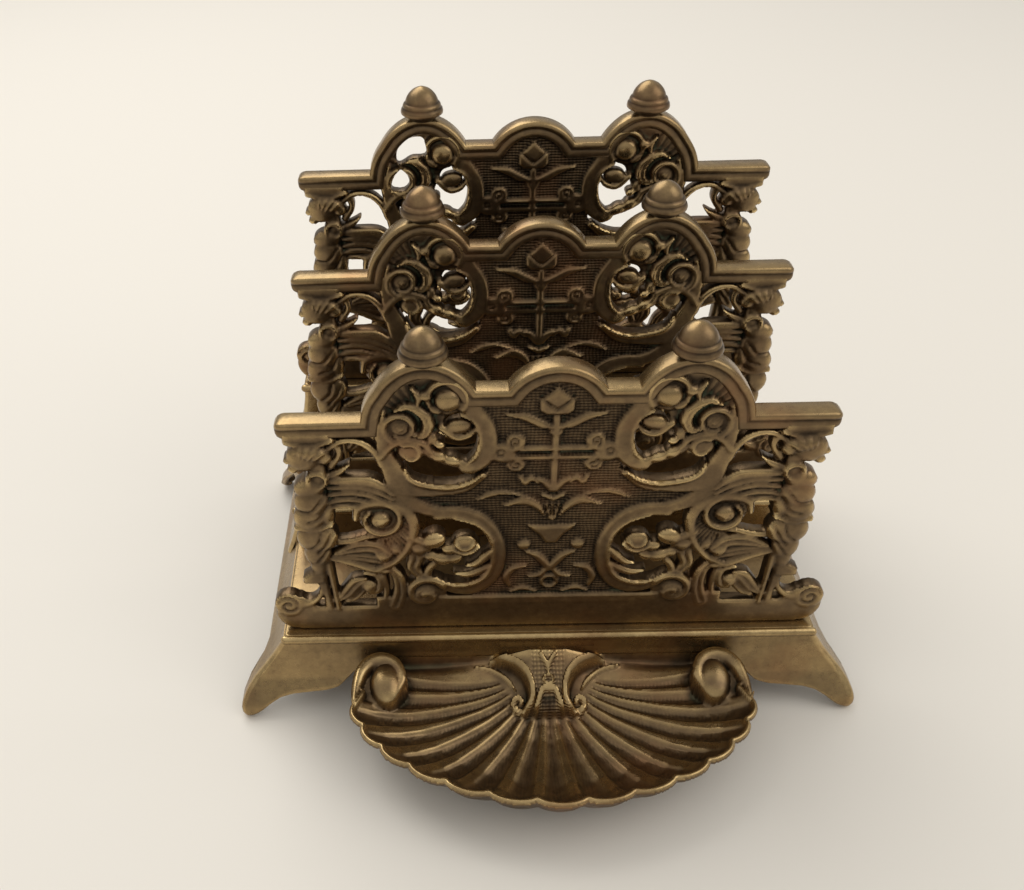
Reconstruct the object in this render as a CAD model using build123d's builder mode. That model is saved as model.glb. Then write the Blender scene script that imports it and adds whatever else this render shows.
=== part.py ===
"""Cast-brass letter rack: stepped base, three pierced plates and a scallop-shell tray.

Millimetres. X runs across the rack, +Y to the back, +Z up, with the floor at Z = 0.
"""
import os
from math import cos, hypot, pi, sin

from build123d import *

# Driving dimensions of the plates
rail_half_width = 80.0
rail_height = 80.0
plate_thickness = 4.0
ground_recess = 1.0
rail_width = 3.8
rail_depth = 4.8
lip_width = 2.2
lip_depth = 6.0
arch_centre_x = 37.0
arch_radius = 18.4
crown_radius = 16.3
crown_rise = 19.0
dip_rise = 11.5
dip_half_length = 5.6
finial_radius = 6.6
finial_height = 14.0
band_height = 9.6
raised_band_height = 13.4
raised_band_half_width = 54.0
peg_radius = 1.5
peg_spacing = 110.0
peg_clearance = 0.2

# Widths of the plates' scroll straps, their knobs and their figures
broad_strap = 7.6
strap = 4.4
thin_strap = 2.8
boss_radius = 5.0
knob_rise = 1.8
knob_taper_angle = 40
figure_half_width = 6.0
figure_half_depth = 3.4
figure_rise = 1.6
capital_half_width = 5.0
capital_angle = 70

# Driving dimensions of the base
base_half_width = 85.0
base_depth = 111.5
wall = 2.2
slab = 3.0
front_step_height = 30.0
middle_step_rise = 14.0
rear_step_rise = 17.0
middle_step_setback = 48.0
rear_step_depth = 11.1
side_flare = 16.0
end_flare = 8.0
step_flare = 5.0
step_lap = 8.0
nosing_radius = 1.5
corner_radius = 3.0
foot_tip = 7.0
foot_undercut = 6.5
foot_length = 30.0
foot_slope = 10.0
apron_height = 10.0
side_apron_height = 13.0
arch_fillet = 6.0
undercut_fillet = 4.0
seat_proud = 1.4

# Places of the plates behind the faces of their steps
front_plate_inset = 3.4
middle_plate_inset = 15.4
rear_plate_inset = 3.5

# Driving dimensions of the shell tray
tray_half_width = 64.0
tray_reach = 59.0
tray_shoulder = 20.0
tray_rim_height = 20.5
tray_wall = 2.4
tray_floor_gap = 1.5
flute_count = 13
flute_bulge = 1.6
tray_ball_radius = 5.4
ball_stem_height = 10.1
ball_stem_radius = 4.6
ball_stem_foot_radius = 1.6
volute_radius = 7.4
volute_band_radius = 1.6
volute_sink = 2.0
bowl_offset = 12.0
rib_radius = 1.2
hinge_half_width = 21.0
hinge_thickness = 6.0
hinge_rise = 5.5
hinge_foot_share = 0.55
cartouche_half_width = 12.5
cartouche_reach = 14.5
cartouche_drop = 17.4
cartouche_strap = 2.6
cartouche_relief = 1.2
ball_x_share = 0.81
ball_y_share = 0.55

# Fasteners
nut_across_flats = 5.5
nut_thickness = 2.6
nut_clearance = 0.05
peg_overhang = 0.8
screw_radius = 1.5
screw_length = 6.4
screw_head_radius = 2.6
screw_head_height = 1.6
screw_head_taper_angle = 25
screw_spacing = 16.0
screw_drop = 1.2
screw_clearance = 0.1
overrun = 1.0

# Derived places: the whole rack is centred on the origin
overall_depth = tray_reach + base_depth + end_flare
front_face_y = tray_reach - overall_depth / 2
rear_face_y = front_face_y + base_depth
seat_y = front_face_y - seat_proud
middle_step_height = front_step_height + middle_step_rise
rear_step_height = middle_step_height + rear_step_rise
peg_y = plate_thickness / 2
peg_length = slab + nut_thickness + peg_overhang
screw_z = front_step_height - slab - screw_head_radius - screw_drop
middle_face_y = front_face_y + middle_step_setback
rear_step_face_y = rear_face_y - rear_step_depth
stations = (
    ("front", front_step_height, front_face_y + front_plate_inset),
    ("middle", middle_step_height, middle_face_y + middle_plate_inset),
    ("rear", rear_step_height, rear_step_face_y + rear_plate_inset),
)

# Flare of the skirt, as shares of its height from the top and of its full flare
skirt_level_shares = (0.0, 0.25, 0.55, 0.8, 1.0)
skirt_flare_shares = (0.0, 0.06, 0.3, 0.66, 1.0)


def skirt_sections(top, bottom, y_front, y_rear, flare_x, flare_y, inset, trim=0.0):
    """Sizes of a flared skirt's rounded rectangles from its top down: level, width, depth, middle."""
    sections = []
    for level_share, flare_share in zip(skirt_level_shares, skirt_flare_shares):
        level = top - trim - (top - trim - bottom) * level_share
        half_x = base_half_width - inset + flare_x * flare_share
        low_y = y_front + inset - flare_y * flare_share
        high_y = y_rear - inset + flare_y * flare_share
        sections.append((level, 2 * half_x, high_y - low_y, (low_y + high_y) / 2))
    return sections


# Each step's top, foot, front face, flare outside and inside at the sides, and flare at the ends
steps = (
    (front_step_height, 0.0, front_face_y, side_flare, side_flare, end_flare),
    (middle_step_height, front_step_height - step_lap, middle_face_y, step_flare, 0.0, 0.0),
    (rear_step_height, middle_step_height - step_lap, rear_step_face_y, step_flare, 0.0, 0.0),
)

# Base: three hollow steps, open below, with a nosing on each and arches between the feet
with BuildPart() as base:
    for top, bottom, y_front, flare_x, hollow_flare, flare_y in steps:
        for level, width, depth, middle in skirt_sections(
            top, bottom, y_front, rear_face_y, flare_x, flare_y, 0.0
        ):
            with BuildSketch(Plane.XY.offset(level)):
                with Locations((0, middle)):
                    RectangleRounded(width, depth, corner_radius)
        loft()
    for top, bottom, y_front, flare_x, hollow_flare, flare_y in steps:
        with BuildSketch(Plane.YZ) as nosing_profile:
            with Locations((y_front, top - nosing_radius)):
                Circle(nosing_radius)
        extrude(amount=base_half_width - corner_radius, both=True)
    for top, bottom, y_front, flare_x, hollow_flare, flare_y in steps:
        for level, width, depth, middle in skirt_sections(
            top, bottom - overrun, y_front, rear_face_y, hollow_flare, flare_y, wall, slab
        ):
            with BuildSketch(Plane.XY.offset(level)):
                with Locations((0, middle)):
                    RectangleRounded(width, depth, corner_radius)
        loft(mode=Mode.SUBTRACT)
    # arches between the feet: across the ends, then along the sides
    foot_half = base_half_width + side_flare
    foot_front = front_face_y - end_flare
    foot_rear = rear_face_y + end_flare
    for arch_plane, low, high, crown, reach in (
        (Plane.XZ, -foot_half, foot_half, front_step_height - apron_height, overall_depth),
        (Plane.YZ, foot_front, foot_rear, front_step_height - side_apron_height, foot_half + overrun),
    ):
        with BuildSketch(arch_plane) as arch:
            with BuildLine():
                Polyline(
                    (low + foot_tip, -overrun),
                    (low + foot_tip + foot_undercut, foot_undercut),
                    (low + foot_length, foot_undercut),
                    (low + foot_length + foot_slope, crown),
                    (high - foot_length - foot_slope, crown),
                    (high - foot_length, foot_undercut),
                    (high - foot_tip - foot_undercut, foot_undercut),
                    (high - foot_tip, -overrun),
                    close=True,
                )
            make_face()
            fillet(arch.vertices().group_by(Axis.Y)[-1], arch_fillet)
            fillet(arch.vertices().group_by(Axis.Y)[1], undercut_fillet)
        extrude(amount=reach, both=True, mode=Mode.SUBTRACT)
    with BuildSketch(Plane.XZ.offset(-front_face_y - wall)):
        with Locations((0, front_step_height - slab)):
            Rectangle(2 * hinge_half_width, apron_height - slab, align=(Align.CENTER, Align.MAX))
    extrude(amount=wall + seat_proud)
    for name, level, y_face in stations:
        with BuildSketch(Plane.XY.offset(level + overrun)):
            with Locations((0, y_face + peg_y)):
                with GridLocations(peg_spacing, 0, 2, 1):
                    Circle(peg_radius + peg_clearance)
        extrude(amount=-(slab + 2 * overrun), mode=Mode.SUBTRACT)
    with BuildSketch(Plane.XZ.offset(-seat_y + overrun)):
        with Locations((0, screw_z)):
            with GridLocations(screw_spacing, 0, 2, 1):
                Circle(screw_radius + screw_clearance)
    extrude(amount=-(wall + seat_proud + 2 * overrun), mode=Mode.SUBTRACT)
base.part.label = "base"


def plate_points(shares):
    """Points of the plate from shares of the rail's half width and of its height."""
    return [(x_share * rail_half_width, z_share * rail_height) for x_share, z_share in shares]


def scroll(points, heading):
    """A wire of tangent arcs through the points, leaving the first one along the heading."""
    places = [Vector(*point) for point in points]
    edges = []
    tangent = Vector(*heading)
    for start, end in zip(places, places[1:]):
        edges.append(Edge.make_tangent_arc(start, tangent, end))
        tangent = edges[-1].tangent_at(1)
    return Wire(edges)


def round_arc(x, z, radius, span):
    """An arc about a point of the plate, between the two angles of its span."""
    return Edge.make_circle(radius, Plane(origin=(x, z, 0)), start_angle=span[0], end_angle=span[1])


# Angles that the crown and the side arches span
crown_angles = (30, 90)
arch_angles = (0, 140)

# Straps of the right half: points, first heading and width
strap_shares = (
    # C-scroll beside the oval opening
    (((0.32, 1.09), (0.235, 0.985), (0.24, 0.86), (0.31, 0.775)), (-1, -0.4), strap),
    # broad crescent strap under the side arch
    (((0.61, 1.0), (0.6, 0.8), (0.48, 0.68), (0.3, 0.66), (0.2, 0.72)), (0.1, -1), broad_strap),
    # big C-scroll of the lower opening
    (((0.46, 0.6), (0.33, 0.595), (0.21, 0.48), (0.2, 0.31), (0.3, 0.2), (0.42, 0.24)), (-1, 0.1), strap),
    # ring of the lower volute
    (((0.42, 0.24), (0.54, 0.25), (0.5, 0.13), (0.42, 0.15)), (0.8, 0.6), thin_strap),
    # horn that sweeps round the snail and down to the figure
    (((0.72, 0.56), (0.62, 0.635), (0.53, 0.5), (0.6, 0.39), (0.83, 0.385)), (0, 1), strap),
    # wing behind the figure
    (((0.86, 0.72), (0.7, 0.715), (0.52, 0.62)), (-1, 0.2), strap),
    # spandrel under the shelf
    (((0.86, 0.86), (0.76, 0.94), (0.62, 0.84)), (0, 1), thin_strap),
    # leaf across the side arch
    (((0.6, 0.92), (0.47, 0.99), (0.4, 1.1)), (-1, 0), strap),
    # bud stalks in the lower opening
    (((0.5, 0.22), (0.44, 0.36), (0.33, 0.43)), (-0.3, 1), strap),
    (((0.54, 0.5), (0.46, 0.47), (0.42, 0.38)), (-1, 0.2), thin_strap),
    # stalk and leaf of the corner opening
    (((0.56, 0.36), (0.6, 0.25), (0.57, 0.12)), (1, -1), strap),
    (((0.6, 0.25), (0.7, 0.23), (0.76, 0.12)), (1, 0.3), thin_strap),
    # stems under the figure
    (((0.86, 0.4), (0.86, 0.26), (0.84, 0.1)), (0.1, -1), thin_strap),
    (((0.87, 0.3), (0.91, 0.19), (1.0, 0.13)), (0, -1), thin_strap),
)
# Round bosses: arch knob, oval's bud, leaf, snail, lower volute, two buds and end volute
boss_shares = (
    ((0.39, 1.11), 0.92),
    ((0.51, 0.885), 0.92),
    ((0.55, 0.99), 0.8),
    ((0.645, 0.565), 0.84),
    ((0.48, 0.19), 1.0),
    ((0.455, 0.47), 0.76),
    ((0.325, 0.43), 0.92),
    ((1.02, 0.125), 1.04),
)
knob_share = 0.75
# Field of the centre panel, up the right side from the middle of its foot
field_shares = (
    (0.0, 0.1),
    (0.34, 0.1),
    (0.2, 0.3),
    (0.2, 0.5),
    (0.36, 0.62),
    (0.24, 0.8),
    (0.22, 0.95),
    (0.3, 1.08),
    (0.28, 1.12),
    (0.15, 1.13),
    (0.08, 1.185),
    (0.0, 1.21),
)
# The figure from head to foot: height, centre, half width and half depth
figure_shares = (
    (0.955, 0.895, 0.5, 0.6),
    (0.885, 0.9, 0.85, 0.95),
    (0.8, 0.87, 0.4, 0.6),
    (0.72, 0.885, 0.8, 0.9),
    (0.62, 0.885, 0.85, 1.0),
    (0.54, 0.88, 0.7, 0.9),
    (0.48, 0.88, 1.0, 1.0),
    (0.35, 0.88, 0.4, 0.55),
)
# Finial outline: shares of its radius and of its height
finial_shares = (
    (1.0, 0.0),
    (1.0, 0.2),
    (0.86, 0.36),
    (0.76, 0.42),
    (0.8, 0.48),
    (0.68, 0.6),
    (0.6, 0.64),
    (0.63, 0.69),
    (0.48, 0.82),
)

plate_back = Plane(origin=(0, plate_thickness, 0), x_dir=(1, 0, 0), z_dir=(0, -1, 0))
plate_face = Plane(origin=(0, 0, 0), x_dir=(1, 0, 0), z_dir=(0, -1, 0))
crown_centre_z = rail_height + crown_rise - crown_radius
dip_z = rail_height + dip_rise
shelf_top = rail_height + rail_width / 2
shelf_start = arch_centre_x + arch_radius - rail_width
finial_foot = rail_height + arch_radius - rail_width / 2

# One plate, standing on Z = 0 with its face at Y = 0: the right half, then its mirror image
with BuildPart() as plate:
    with BuildSketch(plate_back) as ground:
        with BuildLine():
            Polyline(*plate_points(field_shares), close=True)
        make_face()
    extrude(amount=plate_thickness - ground_recess)
    with BuildSketch(plate_back) as straps:
        Rectangle(rail_half_width, band_height, align=(Align.MIN, Align.MIN))
        Rectangle(raised_band_half_width, raised_band_height, align=(Align.MIN, Align.MIN))
        for shares, heading, width in strap_shares:
            SlotArc(scroll(plate_points(shares), heading), width)
        for place_share, radius_share in boss_shares:
            with Locations(*plate_points((place_share,))):
                Circle(boss_radius * radius_share)
    extrude(amount=plate_thickness)
    # rail of crown, dip, side arch and shelf: a body, and a deeper lip along its top
    for width, depth in ((rail_width, rail_depth), (lip_width, lip_depth)):
        with BuildSketch(plate_face.offset(-(plate_thickness + depth) / 2)) as rail:
            SlotArc(round_arc(0, crown_centre_z, crown_radius - width / 2, crown_angles), width)
            SlotArc(round_arc(arch_centre_x, rail_height, arch_radius - width / 2, arch_angles), width)
            with Locations((arch_centre_x / 2, dip_z)):
                Rectangle(2 * dip_half_length, width, align=(Align.CENTER, Align.MAX))
            with Locations((shelf_start, shelf_top)):
                Rectangle(rail_half_width - shelf_start, width, align=(Align.MIN, Align.MAX))
        extrude(amount=depth)
    # finial on the side arch: ringed stem under a round dome
    with BuildSketch(Plane.XZ.offset(-plate_thickness / 2)) as finial:
        with BuildLine():
            outline = [
                (arch_centre_x + r_share * finial_radius, finial_foot + z_share * finial_height)
                for r_share, z_share in finial_shares
            ]
            dome_radius = outline[-1][0] - arch_centre_x
            dome_top = (arch_centre_x, outline[-1][1] + dome_radius)
            Polyline((arch_centre_x, finial_foot), *outline)
            CenterArc((arch_centre_x, outline[-1][1]), dome_radius, 0, 90)
            Line(dome_top, (arch_centre_x, finial_foot))
        make_face()
    revolve(axis=Axis((arch_centre_x, plate_thickness / 2, 0), (0, 0, 1)))
    # knobs on the bosses
    with BuildSketch(plate_face) as knobs:
        for place_share, radius_share in boss_shares:
            with Locations(*plate_points((place_share,))):
                Circle(boss_radius * radius_share * knob_share)
    extrude(amount=knob_rise, taper=knob_taper_angle)
    # draped figure under the shelf, and the capital that it carries
    for z_share, x_share, width_share, depth_share in figure_shares:
        half_depth = figure_half_depth * depth_share
        with BuildSketch(Plane.XY.offset(z_share * rail_height)):
            with Locations((x_share * rail_half_width, plate_thickness - figure_rise - half_depth)):
                Ellipse(figure_half_width * width_share, half_depth)
    loft(ruled=True)
    head_z_share, head_x_share = figure_shares[1][:2]
    with BuildSketch(plate_back) as capital:
        with Locations((head_x_share * rail_half_width, shelf_top - lip_width)):
            capital_height = shelf_top - lip_width - head_z_share * rail_height
            Trapezoid(2 * capital_half_width, capital_height, capital_angle, None, 180, (Align.CENTER, Align.MIN))
    extrude(amount=plate_thickness)
    mirror(about=Plane.YZ)
    with BuildSketch(Plane.XY) as pegs:
        with Locations((0, peg_y)):
            with GridLocations(peg_spacing, 0, 2, 1):
                Circle(peg_radius)
    extrude(amount=-peg_length)

# Tray: scalloped rings, each a share of the rim about the bowl's middle, lofted into a fluted dish
rim_squareness_share = 2.4
rim_overlap_angle = -0.2
ring_size_shares = (0.4, 0.7, 0.88, 1.0)
ring_height_shares = (0.0, 0.1, 0.42, 1.0)
rib_size_shares = (0.3, 0.7, 0.88, 0.97)
rib_height_shares = (0.0, 0.1, 0.42, 0.8)
volute_turn_angle = 240
tray_mid_y = front_face_y - tray_shoulder
tray_front_half = tray_reach - tray_shoulder
rim_drop = tray_rim_height - tray_floor_gap
ball_x = tray_half_width * ball_x_share
ball_y = front_face_y - tray_shoulder * ball_y_share
bowl_y = seat_y - bowl_offset
hinge_top = tray_rim_height + hinge_rise
cartouche_length = hypot(cartouche_reach, cartouche_drop)
cartouche_face = Plane(
    origin=(0, seat_y, hinge_top), x_dir=(1, 0, 0), z_dir=(0, -cartouche_drop, cartouche_reach)
)
# Right C-scroll of the cartouche: shares of its half width and of its length down the slope
cartouche_shares = ((0.95, -0.12), (0.42, -0.58), (0.75, -0.88))
curl_share = (0.72, -0.76)
rib_levels = [tray_floor_gap + tray_wall + rim_drop * height_share for height_share in rib_height_shares]


def rim_point(step_share, drawn_in, size_share):
    """A point of a ring from its left end to its right: an oval in front, a little past its widest behind."""
    angle = rim_overlap_angle + (pi - 2 * rim_overlap_angle) * step_share
    x = -cos(angle)
    y = sin(angle)
    size = (abs(x) ** rim_squareness_share + abs(y) ** rim_squareness_share) ** (-1 / rim_squareness_share)
    rim_x = x * size * (tray_half_width - drawn_in)
    rim_y = tray_mid_y - y * size * (tray_front_half - drawn_in)
    return rim_x * size_share, bowl_y + (rim_y - bowl_y) * size_share


with BuildPart() as shell_tray:
    for inset, mode in ((0.0, Mode.ADD), (tray_wall, Mode.SUBTRACT)):
        for size_share, height_share in zip(ring_size_shares, ring_height_shares):
            with BuildSketch(Plane.XY.offset(tray_floor_gap + rim_drop * height_share + inset)):
                with BuildLine():
                    for flute in range(flute_count):
                        start = rim_point(flute / flute_count, inset + flute_bulge, size_share)
                        crest = rim_point((flute + 0.5) / flute_count, inset, size_share)
                        end = rim_point((flute + 1) / flute_count, inset + flute_bulge, size_share)
                        ThreePointArc(start, crest, end)
                    left = rim_point(0, inset + flute_bulge, size_share)
                    back_y = bowl_y + (seat_y - inset - bowl_y) * size_share
                    Polyline(end, (end[0], back_y), (left[0], back_y), left)
                make_face()
        loft(mode=mode)
    # ribs from the bowl's floor to the notches of the rim
    for notch in range(1, flute_count):
        with BuildLine() as rib_line:
            Spline(
                [
                    (*rim_point(notch / flute_count, tray_wall + flute_bulge, size_share), level)
                    for size_share, level in zip(rib_size_shares, rib_levels)
                ]
            )
        with BuildSketch(Plane(rib_line.line @ 0, z_dir=rib_line.line % 0)):
            Circle(rib_radius)
        sweep(path=rib_line.line)
    # hinge block against the base's seat, with a low arched crest
    with BuildSketch(Plane.XZ.offset(-seat_y)) as hinge:
        with BuildLine():
            Polyline(
                (-hinge_half_width, tray_rim_height),
                (-hinge_half_width * hinge_foot_share, tray_floor_gap + tray_wall),
                (hinge_half_width * hinge_foot_share, tray_floor_gap + tray_wall),
                (hinge_half_width, tray_rim_height),
            )
            ThreePointArc((hinge_half_width, tray_rim_height), (0, hinge_top), (-hinge_half_width, tray_rim_height))
        make_face()
    extrude(amount=hinge_thickness)
    # sloping cartouche in front of the hinge, with a C-scroll on either side
    with BuildSketch(Plane.YZ):
        with BuildLine():
            Polyline(
                (seat_y, hinge_top),
                (seat_y - cartouche_reach, hinge_top - cartouche_drop),
                (seat_y - cartouche_reach, tray_floor_gap + tray_wall / 2),
                (seat_y, tray_floor_gap + tray_wall),
                close=True,
            )
        make_face()
    extrude(amount=cartouche_half_width, both=True)
    with BuildSketch(cartouche_face) as scrolls:
        *points, curl = [
            (x_share * cartouche_half_width, y_share * cartouche_length)
            for x_share, y_share in (*cartouche_shares, curl_share)
        ]
        SlotArc(scroll(points, (-1, 0)), cartouche_strap)
        with Locations(curl):
            Circle(cartouche_strap)
        mirror(about=Plane.YZ)
    extrude(amount=cartouche_relief)
    # balls on stems at the rim's ends, and the volute bands that curl round them
    for side in (-1, 1):
        with Locations((side * ball_x, ball_y, tray_rim_height)):
            Sphere(tray_ball_radius)
            stem_align = (Align.CENTER, Align.CENTER, Align.MAX)
            Cone(ball_stem_foot_radius, ball_stem_radius, ball_stem_height, align=stem_align)
        with BuildSketch(Plane.XZ.offset(-ball_y)):
            with Locations((side * (ball_x + volute_radius), tray_rim_height - volute_sink)):
                Circle(volute_band_radius)
        revolve(axis=Axis((side * ball_x, ball_y, 0), (0, 0, side)), revolution_arc=volute_turn_angle)
    with BuildSketch(Plane.XZ.offset(-seat_y - overrun)):
        with Locations((0, screw_z)):
            with GridLocations(screw_spacing, 0, 2, 1):
                Circle(screw_radius + screw_clearance)
    extrude(amount=screw_length - wall - seat_proud + screw_clearance + overrun, mode=Mode.SUBTRACT)
shell_tray.part.label = "shell_tray"

# Screws from inside the apron into the hinge block
with BuildPart() as tray_screws:
    head_y = front_face_y + wall
    with BuildSketch(Plane.XZ.offset(-head_y)):
        with Locations((0, screw_z)):
            with GridLocations(screw_spacing, 0, 2, 1):
                Circle(screw_radius)
    extrude(amount=screw_length)
    with BuildSketch(Plane.XZ.offset(-head_y)):
        with Locations((0, screw_z)):
            with GridLocations(screw_spacing, 0, 2, 1):
                Circle(screw_head_radius)
    extrude(amount=-screw_head_height, taper=screw_head_taper_angle)
tray_screws.part.label = "tray_screws"

os.makedirs("parts", exist_ok=True)
export_step(base.part, "parts/base.step")
export_step(shell_tray.part, "parts/shell_tray.step")
export_step(tray_screws.part, "parts/tray_screws.step")

# The three plates on their steps, and the nuts on their pegs
for station, level, y_face in stations:
    standing = plate.part.moved(Location((0, y_face, level)))
    standing.label = station + "_plate"
    export_step(standing, "parts/" + standing.label + ".step")
    with BuildPart() as nuts:
        with BuildSketch(Plane.XY.offset(level - slab)):
            with Locations((0, y_face + peg_y)):
                with GridLocations(peg_spacing, 0, 2, 1):
                    RegularPolygon(nut_across_flats / 2, 6, major_radius=False)
                    Circle(peg_radius + nut_clearance, mode=Mode.SUBTRACT)
        extrude(amount=-nut_thickness)
    nuts.part.label = station + "_plate_nuts"
    export_step(nuts.part, "parts/" + nuts.part.label + ".step")
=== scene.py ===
"""Looks of the cast-brass letter rack.

Three pierced relief plates, a fluted shell tray, a stepped base, old brass and steel.
"""

import math

import bpy
import numpy as np
from mathutils import Matrix, Vector


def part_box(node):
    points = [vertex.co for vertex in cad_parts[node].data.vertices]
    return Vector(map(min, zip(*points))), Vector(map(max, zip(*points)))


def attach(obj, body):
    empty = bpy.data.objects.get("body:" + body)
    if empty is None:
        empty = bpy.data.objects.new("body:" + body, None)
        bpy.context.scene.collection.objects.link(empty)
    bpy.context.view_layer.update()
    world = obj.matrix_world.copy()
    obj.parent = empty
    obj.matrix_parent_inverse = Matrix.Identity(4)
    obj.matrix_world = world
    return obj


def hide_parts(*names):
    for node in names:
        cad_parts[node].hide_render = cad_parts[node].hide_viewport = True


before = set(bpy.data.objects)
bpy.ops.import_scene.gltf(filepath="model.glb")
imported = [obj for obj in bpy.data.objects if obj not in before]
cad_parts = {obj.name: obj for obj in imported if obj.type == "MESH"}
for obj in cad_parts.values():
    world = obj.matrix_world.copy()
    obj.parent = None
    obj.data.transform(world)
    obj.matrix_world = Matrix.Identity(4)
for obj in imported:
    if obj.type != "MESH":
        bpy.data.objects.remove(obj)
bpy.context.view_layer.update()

# Lengths below are in millimetres, and meshes are written in metres
MM = 0.001

# Relief: metal on a grid of points, drawn stroke by stroke
VOID = -9.0
FAR = 50.0
# Cells past an outline that still take its height, and thinnest half width of a stroke
EDGE_CELLS, THINNEST = 1.5, 0.05
# Flat strokes: share across that is level, and that falls. Leaves: depth and half width of the vein
LEVEL_SHARE, FALL_SHARE = 0.7, 0.3
VEIN_DEPTH, VEIN_SHARE = 0.6, 0.22


def smooth_path(points, closed=False, samples=8):
    """Points along a Catmull-Rom curve through the given ones."""
    p = np.array(points, float)
    if closed:
        p = np.vstack([p[-1], p, p[0], p[1]])
    else:
        p = np.vstack([2 * p[0] - p[1], p, 2 * p[-1] - p[-2]])
    t = np.linspace(0, 1, samples, endpoint=False)[:, None]
    runs = []
    for a, b, c, d in zip(p, p[1:], p[2:], p[3:]):
        bend, twist = 2 * a - 5 * b + 4 * c - d, 3 * b - a - 3 * c + d
        runs.append(0.5 * (2 * b + (c - a) * t + bend * t**2 + twist * t**3))
    path = np.vstack(runs)
    return path if closed else np.vstack([path, p[-2]])


def spiral(centre, radii, angles, count=14):
    """Points of a spiral about a centre, from one radius and angle to another."""
    turn = np.radians(np.linspace(angles[0], angles[1], count))
    radius = np.linspace(radii[0], radii[1], count)
    return list(zip(centre[0] + radius * np.cos(turn), centre[1] + radius * np.sin(turn)))


def from_segment(x, z, a, b):
    """Distance from the line between two points, and share of the way along it."""
    run = b - a
    share = np.clip(((x - a[0]) * run[0] + (z - a[1]) * run[1]) / max(run @ run, 1e-9), 0, 1)
    return np.hypot(x - a[0] - share * run[0], z - a[1] - share * run[1]), share


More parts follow.
